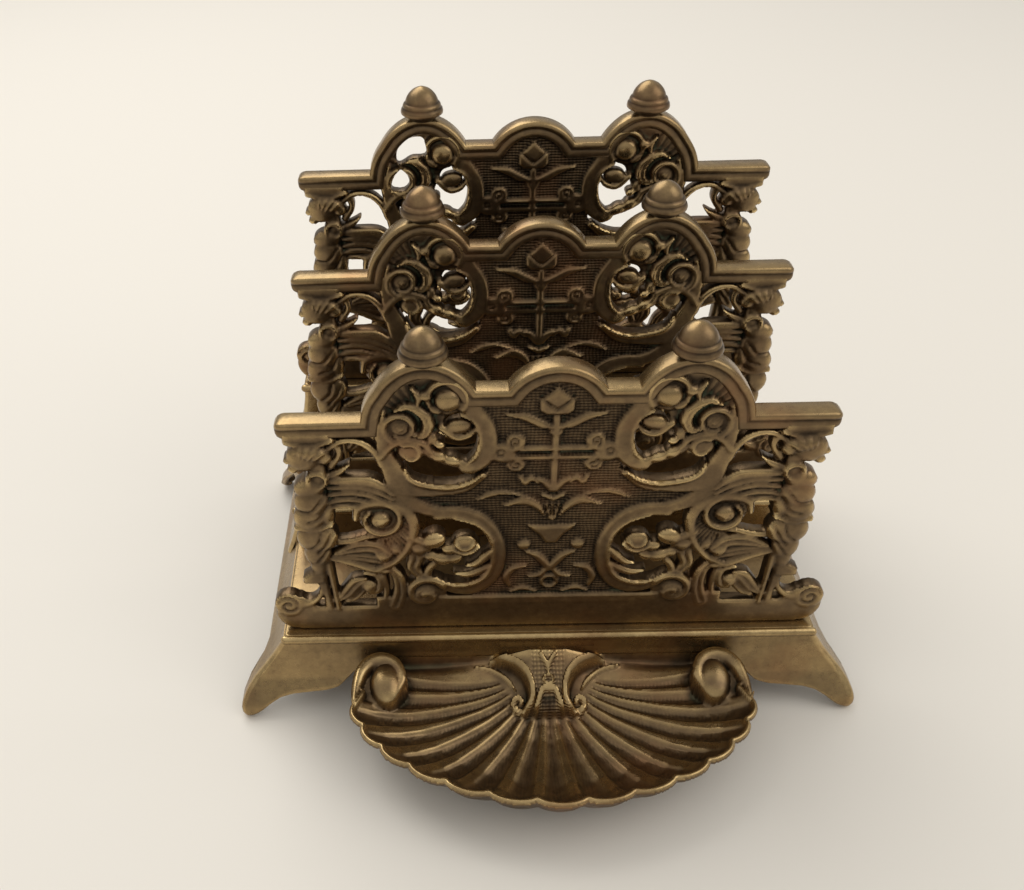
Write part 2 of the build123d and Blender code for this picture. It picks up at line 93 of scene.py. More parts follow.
class Relief:
    """A cast relief: how far each grid point is outside the metal, and how high the metal stands there."""

    def __init__(self, u_range, v_range, cell):
        self.cell = cell
        self.u = np.arange(u_range[0], u_range[1] + cell / 2, cell)
        self.v = np.arange(v_range[0], v_range[1] + cell / 2, cell)
        self.U, self.V = np.meshgrid(self.u, self.v)
        self.cover = np.full(self.U.shape, FAR)
        self.height = np.full(self.U.shape, VOID)
        self.hatch = np.zeros(self.U.shape)
        self.ground = np.zeros(self.U.shape)

    def window(self, low, high):
        """Rows and columns of the grid between two corners."""
        i = np.searchsorted(self.u, (low[0], high[0]))
        j = np.searchsorted(self.v, (low[1], high[1]))
        return slice(max(j[0] - 1, 0), j[1] + 1), slice(max(i[0] - 1, 0), i[1] + 1)

    def add(self, win, outside, top):
        """Metal up to a top inside an outline, with a soft edge where it lies on metal."""
        near = outside < EDGE_CELLS * self.cell
        top = top + self.ground[win]
        self.cover[win] = np.minimum(self.cover[win], outside)
        before = self.height[win]
        share = np.where(before > VOID, np.clip(0.5 - outside / self.cell, 0, 1), 1.0)
        self.height[win] = np.where(near, before + share * (np.maximum(before, top) - before), before)

    def distance(self, points, half_widths, closed=False):
        """Window, distance outside a stroke, share across it and share along it."""
        path = smooth_path(points, closed) if len(points) > 2 else np.array(points, float)
        steps = np.linspace(0, 1, len(path))
        widths = np.interp(steps, np.linspace(0, 1, len(half_widths)), half_widths)
        reach = widths.max() + 2 * self.cell
        win = self.window(path.min(0) - reach, path.max(0) + reach)
        x, z = self.U[win], self.V[win]
        outside = np.full(x.shape, FAR)
        across = np.ones(x.shape)
        along = np.zeros(x.shape)
        for k in range(len(path) - 1):
            d, s = from_segment(x, z, path[k], path[k + 1])
            w = widths[k] + (widths[k + 1] - widths[k]) * s
            closer = d - w < outside
            outside = np.where(closer, d - w, outside)
            across = np.where(closer, d / np.maximum(w, THINNEST), across)
            along = np.where(closer, steps[k] + (steps[k + 1] - steps[k]) * s, along)
        return win, outside, np.clip(across, 0, 1), along

    def stroke(self, points, half_widths, top, rise=0.8, form="round", closed=False):
        """A strap, stem or leaf along a curve: its top, and how far it falls to its edges."""
        win, outside, across, along = self.distance(points, half_widths, closed=closed)
        if form == "flat":
            fall = np.clip((across - LEVEL_SHARE) / FALL_SHARE, 0, 1) ** 2
        elif form == "leaf":
            fall = 1 - np.sqrt(1 - across**2) + VEIN_DEPTH * np.exp(-((across / VEIN_SHARE) ** 2))
        else:
            fall = 1 - np.sqrt(1 - across**2)
        tops = np.interp(along, np.linspace(0, 1, np.size(top)), np.atleast_1d(top))
        self.add(win, outside, tops - rise * fall)

    def groove(self, points, half_width, depth):
        """A line sunk into the metal."""
        win, outside, across, _ = self.distance(points, (half_width, half_width))
        self.height[win] -= depth * np.where(outside < 0, 1 - across**2, 0)

    def blob(self, centre, radii, top, rise=1.5, turn=0.0):
        """A rounded knob, bud or limb."""
        reach = max(radii) + 2 * self.cell
        win = self.window((centre[0] - reach, centre[1] - reach), (centre[0] + reach, centre[1] + reach))
        x, z = self.U[win] - centre[0], self.V[win] - centre[1]
        c, s = math.cos(math.radians(turn)), math.sin(math.radians(turn))
        q = np.hypot((x * c + z * s) / radii[0], (z * c - x * s) / radii[1])
        self.add(win, (q - 1) * min(radii), top - rise * (1 - np.sqrt(np.clip(1 - q**2, 0, 1))))

    def inside(self, points, rounded=False):
        """Window and distance outside an outline, less than nothing within it."""
        path = smooth_path(points, True) if rounded else np.array(points, float)
        win = self.window(path.min(0) - 3 * self.cell, path.max(0) + 3 * self.cell)
        x, z = self.U[win], self.V[win]
        near = np.full(x.shape, FAR)
        within = np.zeros(x.shape, bool)
        for a, b in zip(path, np.roll(path, -1, axis=0)):
            near = np.minimum(near, from_segment(x, z, a, b)[0])
            crosses = (a[1] > z) != (b[1] > z)
            if a[1] != b[1]:
                within ^= crosses & (x < a[0] + (z - a[1]) * (b[0] - a[0]) / (b[1] - a[1]))
        return win, np.where(within, -near, near)

    def area(self, points, top, bevel=0.6, rounded=False, hatch=0.0):
        """A flat pad with bevelled edges."""
        win, outside = self.inside(points, rounded)
        self.add(win, outside, top - bevel * np.clip(1 + outside / max(bevel, 0.1), 0, 1) ** 2)
        if hatch:
            self.hatch[win] = np.where(outside < 0, hatch, self.hatch[win])

    def ribs(self, points, origin, count, depth, rounded=True):
        """Fine ribs that fan out from an origin, over the metal inside an outline."""
        win, outside = self.inside(points, rounded)
        angle = np.arctan2(self.V[win] - origin[1], self.U[win] - origin[0])
        self.height[win] += np.where(outside < 0, depth * np.cos(count * angle), 0)

    def cut(self, points, rounded=True):
        """An opening right through the metal."""
        win, outside = self.inside(points, rounded)
        self.cover[win] = np.maximum(self.cover[win], -outside)


# Ornament of a plate: level of its sunk ground, below its face
GROUND = -1.1


def plate_ornament(r):
    """Right half of a plate, from its middle and its foot: places, half widths, tops and falls."""
    # grounds: centre panel, side arch
    field = [(-3, 8), (29, 8), (23, 15), (16.5, 22), (15.5, 30), (16.5, 38), (21, 44.5), (29, 47.5),
             (41, 50), (43, 55.5), (33, 57), (24, 59.5), (19.5, 63), (18.5, 72), (19, 79), (22, 84),
             (22.5, 89), (12, 89), (9, 92.5), (6.4, 94.3), (-3, 96.5)]
    r.area(field, GROUND, 0.1, hatch=1.0)
    r.area([(27, 85), (25.5, 91), (30, 95), (37, 96), (45, 94), (51, 89), (53, 81), (50, 73), (45, 69),
            (38.5, 68.5), (35, 71), (33, 77), (31, 82)], GROUND - 0.2, 0.1)
    # band and its end volute
    r.area([(-3, 0), (80, 0), (80, 9.6), (54.5, 9.8), (54.5, 13.6), (-3, 13.6)], 0.25, 0.5)
    r.blob((80.0, 7.2), (6.9, 7.1), 0.25, 0.4)
    r.blob((82.3, 10.8), (4.7, 4.7), 0.9, 0.7)
    r.groove(spiral((82.3, 10.8), (3.7, 0.9), (20, 500), 20), 0.55, 0.8)
    r.stroke([(0, 10.8), (27, 10.8)], (0.7, 0.7), 0.35, 0.5)
    # stems from the band to the figure
    r.stroke([(79.4, 10.5), (75.5, 11.5), (72.2, 15), (71.2, 20)], (1.6, 1.5, 1.3, 1.4), 0.5, 0.8)
    r.stroke([(66.6, 9), (67.4, 18), (68.6, 31)], (1.1, 1.0, 1.3), 0.7, 0.9)
    r.stroke([(69.3, 9), (70, 18), (70.6, 30)], (1.6, 1.2, 1.5), 0.5, 0.9)
    # hoof and spur
    r.area([(69.5, 25), (73.8, 25), (76.8, 23), (77, 20.3), (71.5, 20), (69.5, 21)], 0.9, 0.9)
    # corner leaf
    r.stroke([(66.5, 12.5), (63.5, 15.5), (60.5, 19.5), (57.5, 21.5)], (0.6, 2.2, 2.4, 0.8), 0.6, 0.9,
             "leaf")
    r.stroke([(64.5, 11.5), (61.5, 13.2), (59, 16), (57.8, 19)], (0.5, 1.5, 1.6, 0.8), 0.2, 0.8, "leaf")
    r.blob((56.2, 18.4), (2.3, 2.5), 1.2, 1.1)
    r.stroke([(56.2, 15.8), (53.5, 16.6), (52.8, 20), (54, 23.2), (57.5, 24)], (1.0, 1.2, 1.3, 1.2, 0.6),
             0.6, 0.8)
    r.stroke([(48.2, 10), (46.6, 16), (47.2, 22), (49.5, 26)], (2.6, 2.4, 2.0, 1.4), 0.7, 1.0, "leaf")
    r.stroke([(51.5, 12), (51, 17), (51.6, 22.5), (52.5, 26)], (1.0, 1.1, 1.0, 0.9), 0.3, 0.7)
    r.stroke([(66.8, 30.4), (61, 28.4), (55, 25.6), (50.5, 24.8)], (0.9, 1.2, 1.2, 1.0), 0.9, 0.8)
    # lower volute
    r.blob((38.6, 15.4), (6.6, 6.4), 0.0, 0.3)
    r.stroke(spiral((38.6, 15.4), (6.2, 3.0), (150, -150), 16), (1.5, 1.4, 1.2, 0.8), 1.1, 0.9)
    r.blob((38.9, 14.8), (3.3, 3.1), 1.3, 1.2)
    r.groove(spiral((38.9, 14.8), (2.4, 0.8), (160, -160), 12), 0.4, 0.5)
    # strap that runs from the crescent into the big C of the lower opening
    lower = [(46.5, 57.5), (43.6, 53.4), (38.5, 49.7), (33, 48), (28, 47.9), (23, 46), (19, 41.8),
             (16.2, 35.5), (15.6, 29.5), (16.8, 23.5), (20.2, 18.6), (25, 16.3), (31, 17), (35, 20)]
    r.stroke(lower, (3.0, 3.0, 2.4, 2.1, 2.2, 2.3, 2.3, 2.1, 2.0, 2.0, 2.2, 2.3, 1.8, 1.0), 0.35, 0.5,
             "flat")
    r.area([(28, 45.2), (35.6, 45.1), (36.4, 49.6), (30, 50.3)], 0.35, 0.4)
    r.stroke([(29, 45.9), (23.3, 43.8), (19.7, 40.2), (18.0, 36), (17.5, 31), (18.1, 26), (20.2, 21.8),
              (24, 19.2), (29, 18.4), (33, 19.8)], (0.5, 0.8, 0.9, 0.9, 0.8, 0.9, 0.9, 0.9, 0.8, 0.5),
             1.0, 0.8)
    # buds and leaves of the lower opening
    r.stroke([(38.5, 21), (37, 25.5), (33.5, 29), (29, 32.5)], (1.5, 1.4, 1.5, 1.2), 0.3, 0.8)
    r.blob((35.6, 37.4), (3.7, 3.0), 2.0, 1.8, -20)
    r.stroke([(43, 38.5), (39.5, 36.5), (37.5, 33.8)], (1.4, 1.8, 1.2), 0.9, 0.9)
    r.blob((40.2, 33.8), (2.6, 2.0), 1.2, 1.2, 35)
    r.blob((26.2, 35.0), (4.0, 3.7), 0.9, 1.2)
    r.stroke(spiral((26.2, 36.4), (2.5, 2.5), (200, 345), 8), (0.7, 0.9, 0.7), 1.7, 0.8)
    r.stroke(spiral((26.2, 36.6), (4.6, 4.6), (205, 335), 8), (0.6, 0.9, 0.6), 1.3, 0.8)
    r.blob((33.2, 29.6), (3.2, 2.3), 1.5, 1.5, 25)
    r.blob((29.4, 29.6), (2.6, 2.0), 1.1, 1.3, -20)
    r.blob((36.6, 30.6), (2.3, 1.9), 1.0, 1.2)
    r.blob((31.3, 33.4), (2.4, 1.6), 1.3, 1.2, 30)
    r.stroke([(40.5, 22.5), (42.2, 26), (41.2, 30), (42.5, 33)], (1.6, 2.3, 2.6, 1.2), 0.5, 1.0, "leaf")
    r.stroke([(17.6, 33.6), (20, 29.8), (23, 27), (26, 26.6)], (0.5, 1.7, 1.3, 0.3), 0.6, 0.8)
    r.stroke([(18.4, 27), (21.5, 24), (25.5, 22.4), (29.5, 23.2)], (0.6, 1.5, 1.3, 0.4), 0.4, 0.8)
    # horn with its ribbed hollow and the snail at its top
    r.area([(56.5, 41.5), (50, 40.3), (46, 44), (43.5, 47), (42.4, 42), (43.3, 36), (46, 31.5),
            (50.5, 27.5), (57, 27.2), (64, 30), (66, 33.5), (60, 36.8), (53, 36.5)], -0.5, 0.4,
           rounded=True)
    r.ribs([(52, 39.8), (46.5, 43), (43.6, 45), (42.8, 40), (44.5, 34), (49, 30), (50, 34)], (51.6, 45.6),
           46, 0.35)
    r.stroke([(58.9, 46.2), (57.8, 50.2), (53.2, 52.2), (47.4, 51.5), (43.2, 48.2), (41.5, 43),
              (42.3, 37.4), (44.6, 32.4), (48.6, 28), (53.5, 25.8)],
             (0.9, 1.4, 1.6, 1.7, 1.9, 1.8, 1.5, 1.4, 1.2, 0.9), 0.9, 0.9)
    r.blob((51.6, 45.6), (6.4, 6.2), -0.5, 0.3)
    r.stroke(spiral((51.6, 45.7), (6.6, 4.2), (115, 400), 16), (1.0, 1.1, 1.0, 0.8), 1.2, 0.9)
    r.blob((51.4, 45.8), (3.0, 2.9), 1.9, 1.7)
    r.groove(spiral((51.4, 45.8), (2.2, 1.2), (200, 380), 9), 0.45, 0.5)
    r.stroke([(49.5, 31.5), (53.5, 34.5), (59, 34.8), (66, 32.5)], (1.5, 2.4, 2.4, 0.8), 0.9, 1.1, "leaf")
    r.stroke([(50.5, 28.5), (55, 30), (60, 31), (66.5, 31.2)], (1.2, 2.0, 1.6, 0.7), 0.6, 0.9, "leaf")
    r.blob((51.6, 31.2), (2.7, 1.9), 1.5, 1.4, 50)
    r.blob((47.3, 33.4), (1.5, 2.3), 0.9, 1.0, -25)
    r.stroke([(66.5, 36.8), (61, 37.2), (55.5, 38.9), (50.5, 39.6)], (1.1, 1.1, 1.0, 0.8), 0.5, 0.8)
    # wing
    r.area([(46.5, 53), (58, 51.5), (66.5, 51), (67, 60.5), (56, 61), (49, 58)], -0.5, 0.3)
    for feather in ([(47, 55.2), (50.5, 58.2), (56, 60.2), (65.5, 60.6)],
                    [(47.4, 53.6), (52, 56.6), (58, 58.6), (66, 58.4)],
                    [(49.5, 52.9), (54.5, 55.4), (60, 56.5), (66, 55.8)],
                    [(54, 52.6), (59, 53.9), (63, 53.9), (66.5, 52.9)]):
        r.stroke(feather, (0.6, 1.2, 1.3, 0.9), 0.9, 1.0)
    r.stroke([(58.5, 50.8), (62, 51.4), (66.5, 51)], (0.8, 0.9, 0.9), 0.8, 0.8)
    # spandrel under the shelf
    r.stroke([(66, 71.5), (62.6, 74.4), (58.6, 75.3), (54.6, 73.8), (51.6, 70.4), (50.0, 66)],
             (0.9, 1.0, 1.0, 1.1, 1.1, 1.0), 0.6, 0.8)
    r.stroke([(67, 62), (62.5, 64), (59.5, 66.5)], (1.4, 1.2, 0.4), 0.5, 0.9)
    r.stroke([(64.8, 66), (62.2, 70), (62.8, 74)], (1.2, 1.0, 1.2), 0.3, 0.8)
    r.stroke([(66, 60.8), (60.5, 61.4), (54, 61.2), (50, 58.6)], (1.2, 1.1, 1.0, 1.2), 0.9, 0.9)
    # crescent strap with its bright lip
    r.stroke([(50.6, 80), (49.2, 72), (47.3, 65), (45, 59.3), (40.4, 56.9), (33, 56.3), (26, 57.4),
              (20.4, 61.6)], (1.6, 1.9, 3.0, 3.9, 2.8, 1.9, 1.7, 1.0), 0.5, 0.5, "flat")
    r.stroke([(43.4, 65), (42.3, 61.8), (39.6, 59.6), (35, 58.4), (30, 58.0), (25, 59.4), (21, 62.4)],
             (0.5, 0.9, 1.0, 1.0, 1.0, 0.9, 0.5), 1.3, 0.9)
    # C strap beside the oval, its bulb and lip
    r.stroke([(27, 86.5), (22.2, 83.2), (19.6, 78.5), (19.0, 73), (20.4, 67.8), (24.3, 64.6)],
             (1.6, 2.2, 2.4, 2.4, 2.6, 2.4), 0.4, 0.5, "flat")
    r.blob((25.0, 64.8), (3.0, 2.3), 0.9, 1.0, 15)
    r.stroke([(27, 83.6), (23.6, 81.6), (21.8, 78), (21.6, 73.5), (22.8, 69.2), (25.5, 66.4)],
             (0.4, 0.7, 0.8, 0.8, 0.8, 0.5), 0.9, 0.7)
    # clump between the oval and the crescent opening
    r.stroke([(25, 65.5), (29.5, 66.8), (33.5, 68.6), (37, 71)], (1.3, 1.7, 1.8, 1.8), 0.5, 0.9)
    r.blob((29.6, 67.4), (2.7, 1.7), 1.2, 1.2, 20)
    r.blob((33.4, 69.2), (2.4, 1.9), 1.4, 1.3, 30)
    r.blob((33.2, 73.4), (1.7, 1.3), 1.3, 1.0, 20)
    r.blob((35.2, 75.2), (1.6, 2.2), 0.7, 1.0, 10)
    # ball of leaves in the oval
    r.blob((27.6, 79.2), (3.7, 2.5), 0.7, 1.3, -8)
    r.stroke([(32.5, 79), (28.5, 75.6), (24.8, 76.2), (22.8, 78.6)], (1.1, 1.1, 1.0, 0.6), 0.6, 0.9)
    # leaf scroll and rosette scroll of the side arch
    r.stroke([(50, 69.5), (47, 73.2), (42.5, 75.2), (38, 74), (35.6, 71)], (1.2, 1.4, 1.3, 1.2, 0.8), 1.0,
             0.9)
    r.blob((41.4, 70.8), (3.9, 3.4), 0.9, 1.1)
    r.stroke(spiral((41.6, 70.6), (3.6, 1.6), (60, 330), 12), (0.9, 0.8, 0.6), 1.5, 0.8)
    r.blob((44.3, 79.2), (5.2, 4.8), -0.3, 0.3)
    r.stroke(spiral((44.2, 79.2), (5.0, 3.0), (-60, 300), 16), (1.0, 1.0, 0.9, 0.6), 0.9, 0.9)
    r.blob((44.2, 79.0), (2.3, 2.1), 0.7, 0.9)
    r.groove(spiral((44.2, 79.0), (1.6, 0.6), (0, 400), 10), 0.4, 0.6)
    r.stroke([(40.5, 86), (37.2, 83.6), (36.2, 80), (37.6, 77.2), (40, 77)], (0.6, 1.7, 1.9, 1.4, 0.6),
             1.5, 1.2, "leaf")
    r.stroke([(45.5, 85.5), (42.5, 86.6), (39, 85.8), (35.8, 83.6)], (0.6, 1.2, 1.3, 0.8), 1.0, 1.0)
    r.stroke([(48.8, 84.5), (49.4, 80), (48, 76)], (0.8, 1.1, 0.8), 0.5, 0.8)
    r.ribs([(49.5, 84), (46.5, 90.5), (41, 93.2), (38, 92), (41, 87.5), (46, 84)], (37, 80), 34, 0.3)
    # knob volute of the side arch
    r.blob((30.8, 89.0), (6.2, 6.0), -0.4, 0.3)
    r.stroke(spiral((31.0, 89.0), (6.0, 5.0), (215, -65), 14), (1.0, 1.0, 1.0, 0.7), 0.9, 0.9)
    r.blob((30.6, 88.6), (3.7, 3.6), 2.2, 2.0)
    r.blob((36.6, 90.2), (1.9, 1.5), 1.4, 1.2, 25)
    r.blob((34.4, 85.4), (2.0, 1.3), 0.9, 1.0, 40)
    r.stroke([(40.5, 92.5), (38.6, 89.5), (39.2, 86.6)], (0.6, 1.2, 0.6), 0.9, 0.9)
    # frame under the rail
    r.area([(10.2, 86.7), (21.4, 86.7), (19.8, 83.8), (24, 82), (27.5, 86), (26, 89.5), (10, 89.5)], 0.3,
           0.4)
    r.stroke(spiral((0, 82.7), (12.0, 12.0), (90, 25), 12), (1.0, 1.0), 0.3, 0.5, "flat")
    # figure: capital, head, neck, shoulders, bust, belt, drapery
    r.area([(63.5, 79), (79, 79), (77.8, 75.2), (74.5, 73), (67, 72.6), (64.2, 75)], 0.9, 1.2)
    r.stroke([(63.8, 75.8), (70, 74.2), (77.2, 75.4)], (0.8, 0.9, 0.8), 1.6, 0.9)
    r.blob((72.4, 69.8), (5.0, 4.6), 2.6, 2.4, 10)
    r.blob((70.2, 72), (5.2, 2.7), 3.0, 2.2, 8)
    r.ribs([(65, 70), (66, 74), (75, 74.5), (74, 71.5), (69, 70)], (74, 66), 26, 0.3)
    r.blob((77.0, 69.0), (1.3, 1.0), 1.7, 1.2, -15)
    r.blob((75.6, 66.0), (1.7, 1.3), 1.8, 1.4)
    r.blob((66.4, 69.6), (2.3, 2.1), 1.9, 1.6)
    r.stroke([(69.6, 67.5), (68.4, 64), (69.4, 60)], (2.6, 2.1, 3.0), 1.5, 1.5)
    r.stroke(spiral((69.0, 62.2), (2.6, 2.6), (-60, 250), 12), (0.8, 0.9, 0.7), 2.4, 1.0)
    r.blob((71.5, 58.8), (4.9, 3.4), 2.6, 2.2, -10)
    r.blob((71.4, 53.6), (5.2, 5.2), 3.1, 2.6)
    r.blob((72.4, 47.6), (4.9, 5.2), 3.0, 2.5, 8)
    r.blob((68.2, 50.0), (3.2, 5.4), 2.2, 1.9, -12)
    r.stroke([(66, 45.4), (71, 43.6), (76.6, 44.4)], (0.9, 1.0, 0.9), 2.5, 1.0)
    r.blob((70.8, 39.4), (6.3, 5.6), 2.7, 2.3, 6)
    r.blob((71.2, 33.4), (4.2, 5.6), 2.0, 1.8, 4)
    r.blob((71.4, 28.0), (2.6, 4.6), 1.3, 1.3)
    for fold in ([(66.2, 42), (68.2, 37.5), (71, 34)], [(69.5, 42.2), (70.4, 38.6), (73, 36)],
                 [(66.8, 52.5), (69.2, 48.4), (73, 47.2)], [(68, 55.8), (71.5, 51.4), (75.6, 51)],
                 [(67.2, 36), (69.6, 32.6), (71.4, 30)]):
        r.groove(fold, 0.55, 0.6)
    # flower and leaves of the centre panel
    top = 0.25
    r.area([(0, 92.2), (2.6, 89.6), (4.9, 87.6), (4.9, 84.2), (3.2, 82.6), (-3.2, 82.6), (-4.9, 84.2),
            (-4.9, 87.6), (-2.6, 89.6)], top, 0.4)
    r.groove([(0, 84.5), (2.2, 86.4), (4.4, 88.6)], 0.45, 0.7)
    r.stroke([(0.6, 78.4), (4.5, 79.6), (9, 82), (14, 83)], (0.6, 1.4, 1.3, 0.4), top, 0.4, "flat")
    r.stroke([(0, 81.5), (0, 56)], (1.1, 1.1), top, 0.3, "flat")
    r.stroke([(0, 70.9), (18, 70.9)], (0.8, 0.8), top, 0.3, "flat")
    r.stroke([(0, 67.9), (18, 67.9)], (0.8, 0.8), top, 0.3, "flat")
    r.stroke([(1, 76), (2.6, 79.4)], (0.6, 0.3), top, 0.3, "flat")
    r.blob((11.4, 73.4), (2.9, 2.8), top + 0.1, 0.4)
    r.blob((11.2, 65.3), (2.8, 2.6), top + 0.1, 0.4)
    r.blob((15.0, 69.6), (3.9, 3.6), top, 0.3)
    r.groove(spiral((11.4, 73.4), (1.7, 0.5), (-60, 300), 10), 0.45, 0.7)
    r.groove(spiral((11.2, 65.3), (1.6, 0.5), (60, -300), 10), 0.45, 0.7)
    r.groove(spiral((15.6, 69.8), (1.0, 1.0), (0, 360), 9), 0.4, 0.5)
    r.stroke([(0.8, 56), (2.6, 58.6), (4.6, 60)], (1.0, 1.2, 0.6), top, 0.3, "flat")
    r.stroke([(4.6, 58.4), (6.6, 60.2), (8.4, 58.6), (9.6, 60.6)], (0.5, 0.9, 1.1, 0.7), top, 0.3, "flat")
    r.stroke([(0, 52.4), (3.0, 53.8)], (0.9, 0.6), top, 0.3, "flat")
    r.stroke([(2.4, 46.2), (4.6, 49.8), (8.5, 51.9), (14.6, 50.2)], (0.4, 1.3, 1.7, 0.3), top + 0.2, 0.5,
             "flat")
    r.stroke([(9, 53.8), (14.5, 55.1), (19, 54.2), (22.5, 52.4)], (0.3, 0.8, 1.1, 0.3), top, 0.3, "flat")
    r.stroke([(0, 44.5), (0, 50.2)], (0.45, 0.35), top, 0.4)
    r.stroke([(0.7, 44.5), (1.8, 50)], (0.45, 0.35), top, 0.4)
    r.area([(-7.6, 42.4), (7.6, 42.4), (5.8, 40.2), (3.6, 38.2), (1.8, 35), (-1.8, 35), (-3.6, 38.2),
            (-5.8, 40.2)], top, 0.5)
    r.blob((8.2, 34.3), (2.1, 1.9), top + 0.2, 0.6)
    r.stroke([(7.4, 31.6), (4.0, 29.8), (1.4, 26.6), (0, 24.6)], (0.6, 1.4, 1.5, 1.2), top, 0.6)
    r.stroke([(0.8, 24.6), (3.0, 22), (6.4, 21.2)], (1.0, 1.1, 0.5), top, 0.6)
    r.stroke([(12.4, 17.2), (13.4, 21), (11.2, 24.6), (7.6, 25.4)], (0.7, 1.3, 1.3, 0.5), top - 0.1, 0.6)
    r.stroke([(4.0, 14.8), (8.2, 16.2), (12, 14.9)], (0.5, 1.0, 0.5), top - 0.2, 0.5)
    r.stroke(spiral((0, 19.2), (2.3, 2.3), (-90, 90), 9), (0.8, 0.8), top, 0.6)
    # openings
    r.cut([(72.8, 15.2), (75.8, 12.9), (78.4, 14.8), (77.2, 19.4), (72.4, 19.6)])


def edge_drop(cover, radius):
    """How far a rounded edge lies below its face."""
    q = np.clip(-cover / radius, 0, 1)
    return radius * (1 - np.sqrt(1 - (1 - q) ** 2))


def blur(a, n):
    """Mean over the cells around each one, n to each side."""
    k = np.ones(2 * n + 1) / (2 * n + 1)
    a = np.pad(a, n, mode="edge")
    for axis in (0, 1):
        a = np.apply_along_axis(np.convolve, axis, a, k, "valid")
    return a


def node_box(node):
    """Lowest and highest corner of a CAD node, in millimetres."""
    low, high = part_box(node)
    return np.array(low) / MM, np.array(high) / MM


# Meshes: nearest an edge may come to a grid point, and painted shade on openings' edges and on backs, which
# darkens the walls of openings towards the back
CUT_SHARES = 0.08, 0.92
OPENING_SHADE, BACK_SHADE = -0.2, -0.45
# Share of the smoothed height where steps are eased
EASE = 0.3


class Shape:
    """Closed shells gathered into one mesh, with a value of wear and painted light and a hatch value at
    each point.
    """

    def __init__(self):
        self.points = []
        self.faces = []
        self.wear_and_painted_light = []
        self.hatch = []
        self.count = 0

    def add(self, points, faces, wear_and_painted_light=0.0, hatch=0.0):
        self.points.append(np.asarray(points, float))
        self.faces.extend([tuple(self.count + k for k in face) for face in faces])
        self.wear_and_painted_light.append(np.broadcast_to(np.asarray(wear_and_painted_light, float), (len(points),)))
        self.hatch.append(np.broadcast_to(np.asarray(hatch, float), (len(points),)))
        self.count += len(points)

    def build(self, name, material, sharp_angle=45.0):
        mesh = bpy.data.meshes.new(name)
        mesh.from_pydata((np.vstack(self.points) * MM).tolist(), [], self.faces)
        for key, values in (("wear_and_painted_light", self.wear_and_painted_light), ("hatch", self.hatch)):
            layer = mesh.attributes.new(key, "FLOAT", "POINT")
            layer.data.foreach_set("value", np.concatenate(values).astype(np.float32))
        mesh.polygons.foreach_set("use_smooth", [True] * len(mesh.polygons))
        mesh.set_sharp_from_angle(angle=math.radians(sharp_angle))
        mesh.materials.append(material)
        piece = bpy.data.objects.new(name, mesh)
        bpy.context.collection.objects.link(piece)
        return piece

    def relief(self, u, v, cover, height, back, edge, wear_and_painted_light, hatch, place):
        """A closed skin round cast metal: its front, its back and the walls of every edge and opening."""
        inside = cover < 0
        number = np.full(cover.shape, -1)
        number[inside] = np.arange(inside.sum())
        drop = edge_drop(cover, edge)
        rows, columns = np.nonzero(inside)
        across, along = u[columns], v[rows]
        rounding = drop[inside]
        corner = np.stack([number[:-1, :-1], number[:-1, 1:], number[1:, 1:], number[1:, :-1]], axis=-1)
        full = (corner >= 0).all(axis=-1)
        faces = [tuple(quad) for quad in corner[full].tolist()]
        walls = []
        crossing = {}
        found = []
        around = ((0, 0), (0, 1), (1, 1), (1, 0))
        for j, i in np.argwhere((corner >= 0).any(axis=-1) & ~full).tolist():
            loop = []
            for k in range(4):
                a = (j + around[k][0], i + around[k][1])
                b = (j + around[k - 3][0], i + around[k - 3][1])
                if inside[a]:
                    loop.append((int(number[a]), False))
                if inside[a] != inside[b]:
                    p, q = (a, b) if inside[a] else (b, a)
                    if (p, q) not in crossing:
                        share = min(max(cover[p] / (cover[p] - cover[q]), CUT_SHARES[0]), CUT_SHARES[1])
                        crossing[p, q] = len(across) + len(found)
                        at_u = u[p[1]] + share * (u[q[1]] - u[p[1]])
                        at_v = v[p[0]] + share * (v[q[0]] - v[p[0]])
                        found.append((at_u, at_v, *p))
                    loop.append((crossing[p, q], True))
            faces.append(tuple(n for n, _ in loop))
            for (m, m_cut), (n, n_cut) in zip(loop, loop[1:] + loop[:1]):
                if m_cut and n_cut:
                    walls.append((m, n))
        found = np.array(found)
        rows = np.concatenate([rows, found[:, 2].astype(int)])
        columns = np.concatenate([columns, found[:, 3].astype(int)])
        across = np.concatenate([across, found[:, 0]])
        along = np.concatenate([along, found[:, 1]])
        rounding = np.concatenate([rounding, np.full(len(found), edge)])
        front = place(across, along, height[rows, columns] - rounding)
        rear = place(across, along, back[rows, columns] + rounding)
        size = len(across)
        skin = faces + [tuple(size + n for n in face[::-1]) for face in faces]
        skin += [(n, m, size + m, size + n) for m, n in walls]
        wear_and_light_values = wear_and_painted_light[rows, columns]
        # painted shade: openings' edges and the back are darkened, so the walls of openings darken towards
        # the back
        wear_and_light_values[size - len(found):] = np.minimum(wear_and_light_values[size - len(found):], 0.0) + OPENING_SHADE
        both = np.concatenate([wear_and_light_values, np.full(size, BACK_SHADE)])
        marks = np.concatenate([hatch[rows, columns], np.zeros(size)])
        self.add(np.vstack([front, rear]), skin, both, marks)


def smooth_step(low, high, value):
    """Nothing below the low value, one above the high one, and a soft rise between."""
    s = np.clip((value - low) / (high - low), 0, 1)
    return s * s * (3 - 2 * s)


def eased(height, metal):
    """Heights with their sudden steps eased, over the metal only."""
    share = blur(metal.astype(float), 1)
    smooth = blur(np.where(metal, height, 0.0), 1) / np.maximum(share, 1e-6)
    return np.where(metal, (1 - EASE) * height + EASE * smooth, height)


